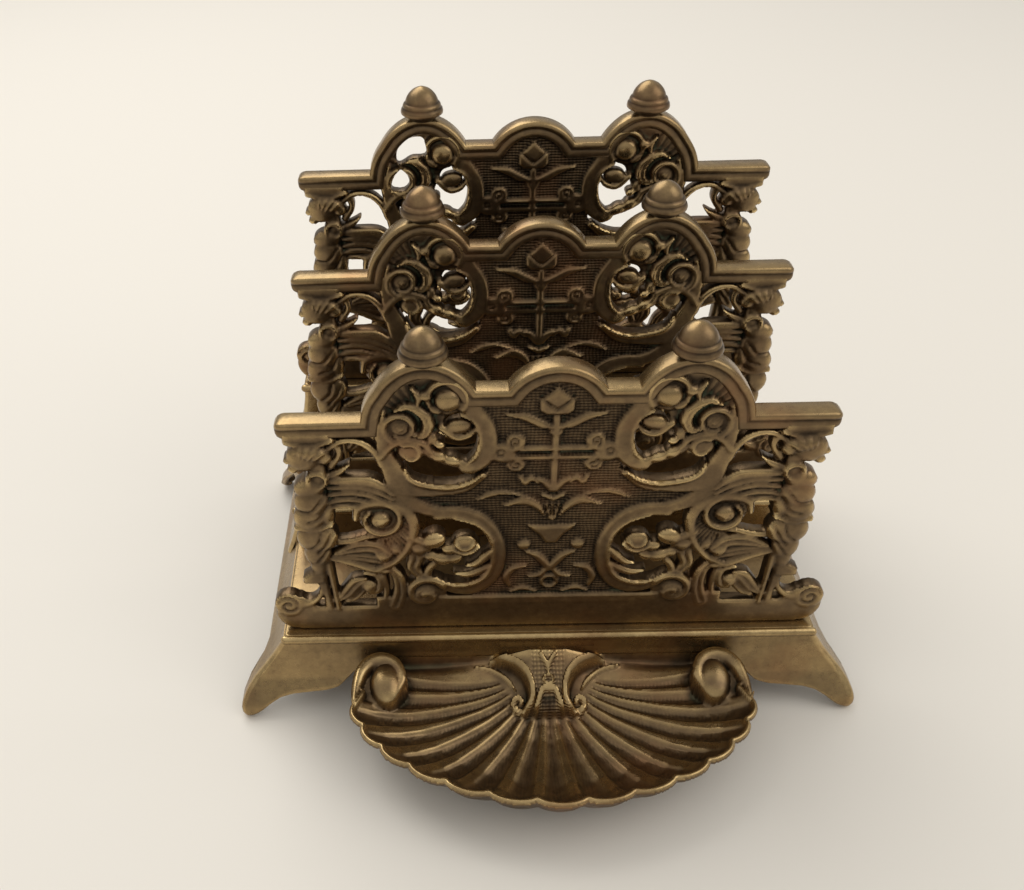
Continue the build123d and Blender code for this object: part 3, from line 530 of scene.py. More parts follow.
def tube(sections):
    """Points and faces of a skin over equal rings of points, with flat ends."""
    rings, size = len(sections), len(sections[0])
    faces = []
    for k in range(rings - 1):
        for m in range(size):
            n = (m + 1) % size
            faces.append((k * size + m, k * size + n, (k + 1) * size + n, (k + 1) * size + m))
    faces.append(tuple(range(size))[::-1])
    faces.append(tuple((rings - 1) * size + m for m in range(size)))
    points = np.vstack(sections)
    # faces look outwards where the volume that they hold counts as more than nothing
    corners = points[np.array(faces[:-2])] - points.mean(axis=0)
    volume = np.einsum("ij,ij->", np.cross(corners[:, 0], corners[:, 1]), corners[:, 2])
    volume += np.einsum("ij,ij->", np.cross(corners[:, 0], corners[:, 2]), corners[:, 3])
    return points, faces if volume > 0 else [face[::-1] for face in faces]


def lathe(profile, centre, count=48):
    """A turned form about a vertical axis, from (radius, height) pairs, foot first."""
    turn = np.linspace(0, 2 * math.pi, count, endpoint=False)
    sections = []
    for radius, height in profile:
        ring = np.column_stack([radius * np.cos(turn), radius * np.sin(turn), np.full(count, height)])
        sections.append(ring + np.array(centre))
    return tube(sections)


# Plates: a relief with a rail and finials on it, and pegs under it
PLATE_THICKNESS = 4.0
FINIAL_BACK = 8.6
PLATE_REACH, PLATE_LOW, PLATE_HIGH = 89, -1, 104
# Wear of what stands proud of its surroundings, with painted shade where the metal lies below them, and of
# its ground, dirt and painted shade in hollows, and darkening of the figures
PROUD_WEAR_AND_SHADE, RAISED_WEAR, HOLLOW_DIRT_AND_SHADE, FIGURE_DARKENING = 0.8, 0.25, 1.1, 0.45
FIGURE_X, FIGURE_Z = (60, 70), (13, 18)
RAISED_RANGE, HOLLOW_LIMIT = (-1.5, 2.0), 0.8
# Height over the sunk ground that is still hatched
HATCHED_RISE = 0.4
PLATE_EDGE = 0.6
PLATE_CELL = 0.53
RAIL_END = 80.0
SHELF_Z = 81.9
DIP_Z = 91.5
CROWN_CENTRE, CROWN_RADIUS = (0.0, 82.7), 16.3
ARCH_CENTRE, ARCH_RADIUS = (37.0, 80.0), 18.4
ARCH_LIFT = 2.6
PEG_X, PEG_RADIUS, PEG_DROP, PEG_ROOT = 55.0, 1.5, 6.4, 1.0
# Depth that an opening counts as, for the wear round it
OPENING_DEPTH = -3.0


def rail_line():
    """Top line of the rail from left to right: shelf, side arch, dip, crown and their mirror."""
    dip_angle = math.degrees(math.asin((DIP_Z - CROWN_CENTRE[1]) / CROWN_RADIUS))
    near_angle = 180 - math.degrees(math.asin((DIP_Z - ARCH_CENTRE[1]) / ARCH_RADIUS))
    far_angle = math.degrees(math.asin((SHELF_Z - ARCH_CENTRE[1]) / ARCH_RADIUS))
    crown = np.array(spiral(CROWN_CENTRE, (CROWN_RADIUS, CROWN_RADIUS), (90, dip_angle), 14))
    side = np.array(spiral(ARCH_CENTRE, (ARCH_RADIUS, ARCH_RADIUS), (near_angle, far_angle), 34))
    lift = np.clip((side[:, 1] - DIP_Z) / (ARCH_CENTRE[1] + ARCH_RADIUS - DIP_Z), 0, 1)
    side[:, 1] += ARCH_LIFT * lift
    right = np.vstack([crown, side, [(RAIL_END, SHELF_Z)]])
    return np.vstack([right[:0:-1] * (-1, 1), right])


# Section of the rail: depth below its line, how far forward and back of the plate it stands, wear
RAIL_SECTION = ((0.0, 0.1, 0.9), (0.2, 0.6, 0.9), (0.7, 1.0, 0.8), (1.4, 1.1, 0.5), (2.0, 0.85, 0.0),
                (2.35, 0.5, -0.6), (2.6, 0.5, -0.5), (2.9, 0.75, 0.1), (4.4, 0.8, 0.25), (5.0, 0.6, -0.1),
                (5.3, 0.0, -0.8))
# Back of the bead, the depth that it ends at, and rounded ends: share of the section, place from the end
RAIL_BACK, BEAD_DEPTH = 1.0, 2.6
RAIL_ENDS = ((0.3, 0.0), (0.6, 0.3), (0.82, 0.9), (0.95, 1.8), (1.0, 2.7))


def rail(shape, face_y, level):
    """Moulded rail along the top of a plate."""
    line = rail_line()
    last = len(line) - 1
    run = np.diff(line, axis=0)
    run /= np.linalg.norm(run, axis=1)[:, None]
    up = np.column_stack([-run[:, 1], run[:, 0]])
    before, after = np.vstack([up[:1], up]), np.vstack([up, up[-1:]])
    mitre = (before + after) / (1 + (before * after).sum(axis=1))[:, None]
    front = [(deep, -out) for deep, out, _ in RAIL_SECTION]
    rear = [(deep, PLATE_THICKNESS + out + RAIL_BACK * (deep < BEAD_DEPTH))
            for deep, out, _ in RAIL_SECTION[::-1]]
    ring = np.array(front + rear)
    marks = [w for _, _, w in RAIL_SECTION]
    marks = np.array(marks + marks[::-1])
    middle = ring.mean(axis=0)
    ends = [(inset, middle + (ring - middle) * share) for share, inset in RAIL_ENDS]
    sections = [(0, *end) for end in ends]
    sections += [(k, 0.0, ring) for k in range(1, last)]
    sections += [(last, *end) for end in ends[::-1]]
    rings = []
    for k, inset, outline in sections:
        x = line[k, 0] - math.copysign(inset, line[k, 0]) - mitre[k, 0] * outline[:, 0]
        z = line[k, 1] - mitre[k, 1] * outline[:, 0]
        rings.append(np.column_stack([x, face_y + outline[:, 1], level + z]))
    points, faces = tube(rings)
    shape.add(points, faces, np.tile(marks, len(rings)))


# Finial: radius, height and wear from its foot on the arch to its tip
FINIAL = ((4.0, 100.2, -0.8), (5.6, 101.6, -0.8), (6.9, 102.4, -0.3), (7.0, 102.9, 0.3),
          (6.8, 103.8, 0.2), (6.4, 104.3, -0.7), (6.3, 104.5, -0.6), (6.3, 104.9, 0.3),
          (6.05, 105.5, 0.4), (5.7, 105.8, -0.2), (5.5, 106.0, -0.7), (5.4, 106.2, -0.3),
          (5.25, 106.8, 0.3), (4.9, 107.6, 0.4), (4.4, 108.4, 0.4), (3.7, 109.2, 0.5), (2.9, 109.9, 0.6),
          (2.0, 110.4, 0.7), (1.0, 110.8, 0.9), (0.2, 111.0, 0.9))


def finials(shape, face_y, level):
    """Turned domes over the side arches."""
    for side in (-1, 1):
        centre = (side * ARCH_CENTRE[0], face_y + PLATE_THICKNESS / 2, level)
        points, faces = lathe([(r, z) for r, z, _ in FINIAL], centre)
        shape.add(points, faces, np.repeat([w for _, _, w in FINIAL], len(points) // len(FINIAL)))


def pegs(shape, face_y, level):
    """Pegs cast on the foot, for the nuts under the step."""
    for side in (-1, 1):
        centre = (side * PEG_X, face_y + PLATE_THICKNESS / 2, level)
        shape.add(*lathe([(PEG_RADIUS, -PEG_DROP), (PEG_RADIUS, PEG_ROOT)], centre, 16))


def plate(node, material, pierced_left=False):
    """A plate in place of its node, its left half worn through where that is asked for."""
    low, high = node_box(node)
    level = low[2] + PEG_DROP
    face_y = high[1] - FINIAL_BACK
    halves = []
    for pierced in (pierced_left, False):
        half = Relief((0, PLATE_REACH), (PLATE_LOW, PLATE_HIGH), PLATE_CELL)
        plate_ornament(half)
        if pierced:
            worn_through(half)
        halves.append(half)
    left, right = halves

    def both(key):
        return np.hstack([getattr(left, key)[:, :0:-1], getattr(right, key)])

    u = np.concatenate([-right.u[:0:-1], right.u])
    cover, height, hatch = both("cover"), both("height"), both("hatch")
    hatch = np.where(height < GROUND + HATCHED_RISE, hatch, 0.0)
    height = eased(height, cover < PLATE_CELL)
    shown = np.where(cover < 0, height, OPENING_DEPTH)
    # painted shade: the metal is darkened where it lies below its surroundings and in hollows, besides the
    # wear of what stands proud and dirt in hollows; the figures are made darker
    wear_and_painted_light = PROUD_WEAR_AND_SHADE * (shown - blur(blur(shown, 3), 3)) + RAISED_WEAR * np.clip(shown, *RAISED_RANGE)
    wear_and_painted_light = wear_and_painted_light - HOLLOW_DIRT_AND_SHADE * np.clip(blur(shown, 2) - shown, 0, HOLLOW_LIMIT)
    in_figure = smooth_step(*FIGURE_X, np.abs(u))[None, :]
    wear_and_painted_light = wear_and_painted_light - FIGURE_DARKENING * in_figure * smooth_step(*FIGURE_Z, right.v)[:, None]
    back = np.full(cover.shape, -PLATE_THICKNESS)

    def place(across, along, out):
        return np.column_stack([across, face_y - out, level + along])

    shape = Shape()
    shape.relief(u, right.v, cover, height, back, PLATE_EDGE, wear_and_painted_light, hatch, place)
    rail(shape, face_y, level)
    finials(shape, face_y, level)
    pegs(shape, face_y, level)
    piece = shape.build(node + "_relief", material)
    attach(piece, "root")
    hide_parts(node)


def worn_through(half):
    """Openings in the side arch that only the rear plate has, on its left."""
    half.cut([(46, 86), (45.5, 90), (42, 93.5), (37.5, 94), (36, 91), (36.5, 88), (41, 87.5),
              (44.5, 85.5)])
    half.cut([(48, 76.5), (47.5, 80), (45, 83.5), (43, 82), (42, 78.5), (44, 76)])


# Shell tray: a fluted bowl with a lip, a hinge pad and two volutes
FLUTES = 13
FLUTE_BULGE = 1.6
RIM_Z = 20.8
RIM_SQUARENESS = 1.85
RIM_START = 0.04
TRAY_SHOULDER = 16.4
TRAY_SHORT = 0.8
TRAY_CELL = 0.4
TRAY_WALL = 2.2
TRAY_EDGE = 0.5
FAN_OFFSET = 0.5
FAN_SPREAD = math.radians(16)
RIB_SWEEP = 0.32
HINGE_TOP = 24.6
PAD_TOP = 24.2
PAD_SLOPE = 0.9
HINGE_REACH = 14.5
APRON_GAP = 1.6
PAD_HALF_WIDTH = 15.2
HINGE_HALF_WIDTH = 24
VOLUTE_X, VOLUTE_OFFSET, VOLUTE_Z, VOLUTE_TILT = 54.4, 8.6, 20.4, 0.33
VOLUTE_RADIUS, VOLUTE_TURN, VOLUTE_INSET = 7.6, (-40, 88), 0.6
# Mound under a volute: how far below it, slope of its sides, radius of its level top
MOUND_SINK, MOUND_SLOPE, MOUND_RADIUS = 2.2, 1.7, 6
# Floor of a volute: how far below it, its radius, and the radii of its ground and of what has no hatching
FLOOR_SINK, FLOOR_RADIUS, GROUND_RADIUS, CLEAR_RADIUS = 0.9, 7.4, 12, 11
# Grid past the tray's ends and behind its seat, and how far behind the seat the fan's outline closes
TRAY_MARGIN, TRAY_BEHIND, FAN_BEHIND = 1, 2.5, 3
# Where the fan starts round the hinge, how that is squeezed, and height over the wall where it starts
FAN_START, FAN_SQUEEZE, FAN_RISE = (11.5, 14.5), 0.72, (-0.3, 1.2)
# Flutes across, from a rib at 0 to a hollow at 0.5, and where their hatching ends on the way to the rim
RIB_SPAN, HOLLOW_SPAN, HATCH_END = (0.12, 0.27), (0.2, 0.5), (0.84, 0.94)
SWEEP_POWER = 1.5
# Depth of the bowl at its sides, and what its middle has more
SIDE_DEPTH, MIDDLE_DEPTH = 6.5, 10.9
RIB_RISE, HOLLOW_SINK, HOLLOW_HATCH, PAD_HATCH = 0.8, 0.3, 0.55, 0.8
LIP_HALF_WIDTH, LIP_RISE, LIP_MARGIN = 0.9, 1.0, 0.5
# Wall under the bowl: how it thins towards the rim, its thickness there, and the least anywhere
THIN_SPAN, RIM_THICKNESS, LEAST_WALL = (0.5, 5.0), 1.9, 1.6
# Hatched ground between the hinge's scrolls, and slopes and soft border of the hinge's pad
PAD_GROUND_HALF_WIDTH, PAD_GROUND_RISE = 5.2, 0.3
PAD_FLAT_HALF_WIDTH, PAD_SIDE_SLOPE, PAD_BORDER = 6, 0.35, 1.6
# Wear of what stands proud, with painted shade where the metal lies low, wear of ribs and of the hinge,
# darkening in the flutes' hollows, painted shade under the bar and on the wall under the apron
TRAY_PROUD_WEAR_AND_SHADE, RIB_WEAR, HINGE_WEAR = 0.7, 0.25, 0.6
FLUTE_DARKENING, BAR_SHADE, WALL_SHADE = 0.32, 1.2, 0.9
# Places of the hinge's wear, of the painted shade under the bar and of the painted shade on the wall. Range
# of the wear and painted shade, and depth outside the rim
HINGE_RISE, HINGE_WORN_REACH = (0.5, 1.0), 16
BAR_HALF_WIDTH, BAR_OFFSET, BAR_HALF_REACH = 2.2, 12.6, 1.6
WALL_SPAN, WALL_HALF_WIDTH, WALL_RISE = (-1.0, 0.5), 47, 0.6
WEAR_AND_SHADE_RANGE, OUTSIDE_SINK = (-1.4, 0.9), 2.5
# Strength of the ribs by share of the way from the hinge to the rim
RIB_STRENGTH = ((0.0, 0.35), (0.2, 0.6), (0.5, 1.0), (0.85, 1.1), (0.97, 0.6), (1.0, 0.0))
# Dip of the shell: share of the way from its hinge to its rim, and share of its depth there
DIP = ((0.0, 0.0), (0.1, 0.46), (0.2, 0.8), (0.29, 0.95), (0.4, 1.0), (0.55, 0.99), (0.7, 0.93),
       (0.8, 0.8), (0.88, 0.6), (0.95, 0.3), (1.0, 0.05))
# Plain wall at its back: distance from the seat, and height there
WALL = ((-2.0, 22.5), (-1.3, 21.5), (-0.7, 17.2), (0.2, 16.0), (1.5, 15.2), (3.2, 14.0), (4.6, 12.0),
        (6.5, 5.0), (9.0, -30.0))


def tray_rim(half_width, reach, seat):
    """Scalloped rim from its left end to its right, and the count of flutes along it."""
    steps = np.linspace(0, 1, FLUTES * 12 + 1)
    angle = RIM_START + (math.pi - 2 * RIM_START) * steps
    x, y = -np.cos(angle), np.sin(angle)
    size = (np.abs(x) ** RIM_SQUARENESS + np.abs(y) ** RIM_SQUARENESS) ** (-1 / RIM_SQUARENESS)
    drawn_in = FLUTE_BULGE * (1 - np.abs(np.sin(math.pi * FLUTES * steps)) ** 0.7)
    rim_y = seat - TRAY_SHOULDER - y * size * (reach - TRAY_SHOULDER - drawn_in)
    return np.column_stack([x * size * (half_width - drawn_in), rim_y]), steps * FLUTES


def way_out(x, y, outline):
    """Share of the way from the origin to an outline round it."""
    sides = zip(outline, np.roll(outline, -1, axis=0))
    dense = np.vstack([np.linspace(a, b, 6, endpoint=False) for a, b in sides])
    turn = np.arctan2(dense[:, 1], dense[:, 0])
    order = np.argsort(turn)
    reach = np.hypot(dense[:, 0], dense[:, 1])[order]
    return np.hypot(x, y) / np.interp(np.arctan2(y, x), turn[order], reach, period=2 * math.pi)


def shell_tray(material):
    """The scallop tray, in place of its node."""
    low, high = node_box("shell_tray")
    half_width, tip, seat = high[0], low[1], high[1]
    rim, count = tray_rim(half_width, seat - tip - TRAY_SHORT, seat)
    margin = half_width + TRAY_MARGIN
    r = Relief((-margin, margin), (tip - TRAY_MARGIN, seat + TRAY_BEHIND), TRAY_CELL)
    behind = seat - r.V
    hinge = np.array([0, seat - FAN_OFFSET])
    square = np.vstack([rim, [(half_width, seat + FAN_BEHIND), (-half_width, seat + FAN_BEHIND)]])
    share = np.clip(way_out(r.U, r.V - hinge[1], square - hinge), 0, 1)
    depth = SIDE_DEPTH + MIDDLE_DEPTH * np.clip(behind, 0, None) / np.hypot(r.U, behind + 0.01)
    fan = HINGE_TOP + (RIM_Z - HINGE_TOP) * share - depth * np.interp(share, *zip(*DIP))
    plain = np.interp(behind, *zip(*WALL))
    ground = np.maximum(fan, plain)
    for side in (-1, 1):
        away = np.hypot(side * r.U - VOLUTE_X, r.V - seat + VOLUTE_OFFSET)
        mound = VOLUTE_Z - MOUND_SINK - MOUND_SLOPE * np.clip(away - MOUND_RADIUS, 0, None)
        ground = np.maximum(ground, mound)
    ground = blur(blur(ground, 1), 1)
    # flutes fan out from the hinge: smooth ribs to the rim's notches, hatched hollows to its lobes
    rim_angle = np.arctan2(rim[:, 0], hinge[1] - rim[:, 1])
    fan_angles = np.concatenate([[rim_angle[0] - FAN_SPREAD], rim_angle, [rim_angle[-1] + FAN_SPREAD]])
    fan_counts = np.concatenate([[-2], count, [FLUTES + 2]])
    sweep = 1 + RIB_SWEEP * (1 - share) ** SWEEP_POWER
    flute = np.interp(sweep * np.arctan2(r.U, hinge[1] - r.V), fan_angles, fan_counts)
    off_rib = np.abs(flute - np.round(flute))
    in_fan = smooth_step(*FAN_START, np.hypot(FAN_SQUEEZE * r.U, behind))
    in_fan = in_fan * smooth_step(*FAN_RISE, fan - plain)
    cut = in_fan * np.interp(share, *zip(*RIB_STRENGTH))
    rib = 1 - smooth_step(*RIB_SPAN, off_rib)
    hollow = smooth_step(*HOLLOW_SPAN, off_rib)
    r.ground = ground + cut * (RIB_RISE * rib - HOLLOW_SINK * hollow)
    turn = np.radians(np.linspace(*VOLUTE_TURN, 16))
    arc_x = VOLUTE_X + VOLUTE_RADIUS * np.cos(turn)
    arc_y = seat - VOLUTE_OFFSET + VOLUTE_RADIUS * np.sin(turn)
    apron = seat + APRON_GAP
    corners = [(VOLUTE_X - VOLUTE_INSET, apron), (PAD_HALF_WIDTH, apron), (PAD_HALF_WIDTH, seat)]
    right = np.vstack([np.column_stack([arc_x, arc_y]), corners])
    outline = np.vstack([rim, right, right[::-1] * (-1, 1)])
    r.area(outline, 0.0, 0.0)
    # thin lip along the scalloped rim
    from_rim = np.full(r.U.shape, FAR)
    edge = np.vstack([right[0] * (-1, 1), rim, right[0]])
    for a, b in zip(edge, edge[1:]):
        from_rim = np.minimum(from_rim, from_segment(r.U, r.V, a, b)[0])
    lip = 1 - ((from_rim - LIP_HALF_WIDTH) / LIP_HALF_WIDTH) ** 2
    crest = RIM_Z - LIP_RISE + LIP_RISE * np.sqrt(np.clip(lip, 0, 1))
    r.height = np.where((lip > 0) & (r.cover < LIP_MARGIN), np.maximum(r.height, crest), r.height)
    r.hatch = HOLLOW_HATCH * in_fan * hollow * (1 - smooth_step(*HATCH_END, share))
    hinge_ornament(r, seat)
    pad_ground = r.ground
    volutes(r, seat)
    between = (np.abs(r.U) < PAD_GROUND_HALF_WIDTH) & (behind < HINGE_REACH)
    r.hatch = np.where(between & (r.height < r.ground + PAD_GROUND_RISE), PAD_HATCH, r.hatch)
    shown = np.where(r.cover < 0, r.height, RIM_Z - OUTSIDE_SINK)
    # painted shade: the metal is darkened where it lies below its surroundings, under the bar and on the
    # wall under the apron; the flutes' hollows are made darker
    wear_and_painted_light = TRAY_PROUD_WEAR_AND_SHADE * (shown - blur(blur(shown, 4), 4))
    wear_and_painted_light = wear_and_painted_light - FLUTE_DARKENING * in_fan * hollow + RIB_WEAR * in_fan * rib
    under_bar = (np.abs(r.U) < BAR_HALF_WIDTH) & (np.abs(behind - BAR_OFFSET) < BAR_HALF_REACH)
    wear_and_painted_light = wear_and_painted_light - BAR_SHADE * under_bar
    on_wall = smooth_step(*WALL_SPAN, plain - fan)
    wear_and_painted_light = wear_and_painted_light - WALL_SHADE * on_wall * (np.abs(r.U) < WALL_HALF_WIDTH) * (r.height < ground + WALL_RISE)
    on_hinge = smooth_step(*HINGE_RISE, r.height - pad_ground)
    wear_and_painted_light = wear_and_painted_light + HINGE_WEAR * on_hinge * (np.abs(r.U) < HINGE_HALF_WIDTH) * (behind < HINGE_WORN_REACH)
    wear_and_painted_light = np.clip(wear_and_painted_light, *WEAR_AND_SHADE_RANGE)
    # wall under the bowl, thinner towards the rim
    thin = smooth_step(*THIN_SPAN, from_rim)
    back = np.minimum(ground, RIM_Z) - TRAY_WALL
    back = back * thin + (RIM_Z - RIM_THICKNESS) * (1 - thin)
    back = np.minimum(back, r.height - LEAST_WALL)

    def place(across, along, up):
        return np.column_stack([across, along, up])

    shape = Shape()
    shape.relief(r.u, r.v, r.cover, r.height, back, TRAY_EDGE, wear_and_painted_light, r.hatch, place)
    piece = shape.build("shell_tray_cast", material)
    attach(piece, "root")
    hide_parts("shell_tray")


def hinge_ornament(r, seat):
    """Pair of C scrolls round a sloping pad, with a drop, a ring and an arched bar on it."""
    scroll = [(18.4, 0.8), (13.8, 1.3), (10.2, 2.9), (7.3, 5.4), (5.7, 8.6), (5.7, 11.6), (7.2, 13.9),
              (9.6, 14.2), (11.3, 12.6), (10.9, 10.9), (9.4, 10.5), (8.6, 11.6)]
    half = [(x, seat - y) for x, y in scroll[:7]]
    border = [(17.5, seat + 0.4)] + half[1:] + [(-x, y) for x, y in half[:0:-1]] + [(-17.5, seat + 0.4)]
    slope = PAD_TOP - PAD_SLOPE * np.clip(seat - r.V, 0, None)
    slope = slope - PAD_SIDE_SLOPE * np.clip(np.abs(r.U) - PAD_FLAT_HALF_WIDTH, 0, None)
    win, outside = r.inside(border)
    raised = np.clip(slope[win] - r.ground[win], 0, None)
    r.ground[win] = r.ground[win] + raised * (1 - smooth_step(0.0, PAD_BORDER, outside))
    r.ground = np.where(np.abs(r.U) < HINGE_HALF_WIDTH, blur(r.ground, 1), r.ground)
    r.height = np.where(r.cover < 0, np.maximum(r.height, r.ground), r.height)
    for side in (-1, 1):
        def at(points):
            return [(side * x, seat - y) for x, y in points]

        r.stroke(at(scroll), (0.6, 1.1, 1.3, 1.35, 1.35, 1.3, 1.25, 1.1, 1.0, 0.9, 0.9, 0.9), 1.4, 0.9,
                 "flat")
        r.stroke(at([(23, 1.5), (17, 2.9), (13, 5.6), (10.6, 8.4)]), (0.5, 0.8, 0.8, 0.4), 1.0, 0.9)
        r.stroke(at([(0, 4.4), (1.0, 3.0), (2.2, 1.6)]), (0.8, 0.7, 0.7), 1.1, 0.8)
        r.stroke(at([(0, 9.7), (2.0, 9.8), (2.9, 11.4), (4.3, 14.4)]), (0.9, 0.9, 0.9, 0.8), 1.3, 0.9,
                 "flat")
    r.stroke([(0, seat - 4.0), (0, seat - 5.6)], (0.8, 0.4), 1.1, 0.8)
    turns = np.linspace(0, 2 * math.pi, 12, endpoint=False)
    ring = [(1.5 * math.cos(a), seat - 7.5 + 1.05 * math.sin(a)) for a in turns]
    r.stroke(ring, (0.5, 0.5), 1.1, 0.8, closed=True)


def volutes(r, seat):
    """Rim's ends rolled up into swelling scrolls."""
    curl = ((61.8, 17.4), (61.6, 14.2), (61.1, 10.6), (60.0, 6.8), (57.6, 3.8), (54.2, 2.5), (50.6, 3.2),
            (48.0, 5.6), (47.0, 9.0), (48.2, 12.4))
    for side in (-1, 1):
        out, up = side * r.U - VOLUTE_X, r.V - seat + VOLUTE_OFFSET
        away = np.hypot(out, up)
        r.ground = np.where(away < GROUND_RADIUS, VOLUTE_Z + VOLUTE_TILT * up, r.ground)
        r.hatch = np.where(away < CLEAR_RADIUS, 0, r.hatch)
        on_floor = (away < FLOOR_RADIUS) & (r.cover < 0)
        r.height = np.where(on_floor, np.maximum(r.height, r.ground - FLOOR_SINK), r.height)
        r.blob((side * (VOLUTE_X - 2.4), seat - VOLUTE_OFFSET - 1.2), (5.2, 7.0), 2.7, 4.0)
        path = [(side * x, seat - y) for x, y in curl]
        r.stroke(path, (0.9, 1.3, 1.7, 2.0, 2.2, 2.3, 2.2, 2.0, 1.8, 1.2),
                 (3.2, 2.7, 2.5, 2.4, 2.2, 2.0, 1.9, 1.9, 1.8, 1.3), 1.7)


# Base: three hollow steps, a flared skirt on four feet, a nosing on each step
BASE_HALF_WIDTH = 85.0
BASE_FRONT, BASE_MIDDLE, BASE_REAR_STEP, BASE_REAR = -30.25, 17.75, 70.15, 81.25
STEP_TOPS = (30.0, 44.0, 61.0)
STEP_LAP = 8.0
STEP_FLARE = 5.0
SKIRT_FLARE_X, SKIRT_FLARE_Y = 16.0, 8.0
BASE_WALL, BASE_SLAB = 2.2, 3.0
CORNER_RADIUS = 1.6
LID_EDGE = 0.7
REAR_LAP, REAR_SINK = 83.0, 0.3
NOSING_RADIUS, NOSING_OVERHANG = 1.5, 1.2
# Round ends of a nosing: first and last angle and count of rings. Its wear, and the wear and painted
# highlight that height adds
NOSING_BENDS, NOSING_WEAR, NOSING_TOP_WEAR_AND_HIGHLIGHT = (8, 90, 7), 0.25, 0.35
# Edge of a lid: distance in from its outline, depth below its top, and wear
LID_SECTION = ((0.9, BASE_SLAB, -0.4), (0.05, BASE_SLAB - 0.4, -0.2), (0.0, LID_EDGE, 0.3), (0.2, 0.2, 0.5),
               (LID_EDGE, 0.0, 0.3), (4.0, 0.0, -0.1))
LID_LAP = 1.5
# Points of a wall along the rack, across it, up it and round its lower edge, and rounds that find that edge
WALL_PLACES, WALL_LEVELS, WALL_BENDS, EDGE_ROUNDS = (150, 100), 22, 6, 8
# Wear and painted highlight of a wall's corners, wear of its lower edge, how far up the edge's goes, and
# wear of the inside
CORNER_WEAR_AND_HIGHLIGHT, HEM_WEAR, HEM_REACH, INNER_WEAR = 0.6, 0.5, 1.2, -0.6
# Angle in degrees under which neighbouring faces of the base look smooth
BASE_SMOOTH = 50.0
SEAT_PROUD, SEAT_HALF_WIDTH, SEAT_LOW, SEAT_HIGH = 1.4, 15.0, 20.2, 25.0
# Screws: their radius, how far inside the seat's face they end, and brim and top of their heads
SCREW_RADIUS, SCREW_SHORT = 1.5, 0.4
HEAD_BRIM, HEAD_BRIM_SHARE, HEAD_TOP_SHARE = 0.5, 0.95, 0.72
# Share of the skirt's flare by height, across and along the rack
FLARE_X = ((0.0, 0.86), (0.5, 0.93), (2.0, 0.985), (4.0, 1.0), (6.0, 0.97), (9.5, 0.86), (13.2, 0.69),
           (16.7, 0.51), (21.0, 0.3), (26.0, 0.1), (30.0, 0.0))
FLARE_Y = ((0.0, 0.88), (0.6, 0.95), (2.0, 1.0), (4.0, 0.94), (6.0, 0.82), (8.0, 0.67), (13.5, 0.32),
           (22.5, 0.06), (30.0, 0.0))
STEP_SWELL = ((0.0, 0.0), (0.25, 0.06), (0.55, 0.3), (0.8, 0.66), (1.0, 1.0))
# Lower edge of the skirt: distance in from the toe of a foot, and height there
FOOT_EDGE = ((-4.0, 0.0), (2.0, 0.0), (4.5, 0.9), (7.0, 2.8), (10.0, 5.2), (13.0, 6.9), (17.0, 7.9),
             (22.0, 8.4), (28.0, 8.9), (32.0, 9.8), (34.0, 11.4), (35.6, 13.4), (37.6, 15.8),
             (40.5, 18.2), (45.0, 20.0), (60.0, 20.0))
SIDE_FOOT_EDGE = ((-4.0, 0.0), (3.0, 0.0), (5.0, 1.0), (7.0, 3.6), (9.0, 7.4), (11.5, 11.6), (15.0, 15.2),
                  (20.0, 17.0), (60.0, 17.0))


def base_border(along, count):
    """Places round a rounded rectangle: corner of its core, outward direction and side, front first."""
    places = []
    ends = ((-1, -1), (1, -1), (1, 1), (-1, 1))
    for side in range(4):
        a, b = np.array(ends[side], float), np.array(ends[(side + 1) % 4], float)
        face = math.radians(-90 + 90 * side)
        n = along if side % 2 == 0 else count
        for s in np.linspace(0, 1, n, endpoint=False):
            places.append((a + (b - a) * s, face, side))
        for turn in np.linspace(0, math.pi / 2, 6, endpoint=False):
            places.append((b, face + turn, side + 0.5))
    return places


def ring_wall(shape, top, half_x, front, rear, lower_edge):
    """A wall round a step, from its top down to its lower edge, rounded below."""
    points, tone = [], []
    places = base_border(*WALL_PLACES)
    bend = np.linspace(0, math.pi, WALL_BENDS)
    for core, face, side in places:
        out = np.array([math.cos(face), math.sin(face)])

        def at(z, inward=0.0):
            hx, low_y, high_y = half_x(z), front(z), rear(z)
            hy, middle = (high_y - low_y) / 2, (high_y + low_y) / 2
            flat = np.array([core[0] * (hx - CORNER_RADIUS), middle + core[1] * (hy - CORNER_RADIUS)])
            flat = flat + out * (CORNER_RADIUS - inward)
            return (*flat, z)

        foot = 0.0
        for _ in range(EDGE_ROUNDS):
            foot = 0.5 * foot + 0.5 * lower_edge(at(max(foot, 0.0)), side)
        half = BASE_WALL / 2
        levels = top - LID_EDGE - (top - LID_EDGE - foot - half) * np.linspace(0, 1, WALL_LEVELS)
        column = [at(z) for z in levels]
        column += [at(foot + half - half * math.sin(b), half - half * math.cos(b)) for b in bend[1:-1]]
        column += [at(z, BASE_WALL) for z in levels[::-1]]
        points.append(column)
        # painted highlight: the rounded corners are lighter, as wear and as a highlight
        corner = CORNER_WEAR_AND_HIGHLIGHT if side != int(side) else 0.0
        heights = [z for _, _, z in column[:-WALL_LEVELS]]
        tone.append([corner + HEM_WEAR * math.exp(-((z - foot) / HEM_REACH) ** 2) for z in heights])
        tone.append([INNER_WEAR] * WALL_LEVELS)
    rings, size = len(points), len(points[0])
    faces = []
    for k in range(rings):
        j = (k + 1) % rings
        for m in range(size):
            n = (m + 1) % size
            faces.append((k * size + m, k * size + n, j * size + n, j * size + m))
    shape.add(np.vstack(points), faces, np.concatenate(tone))


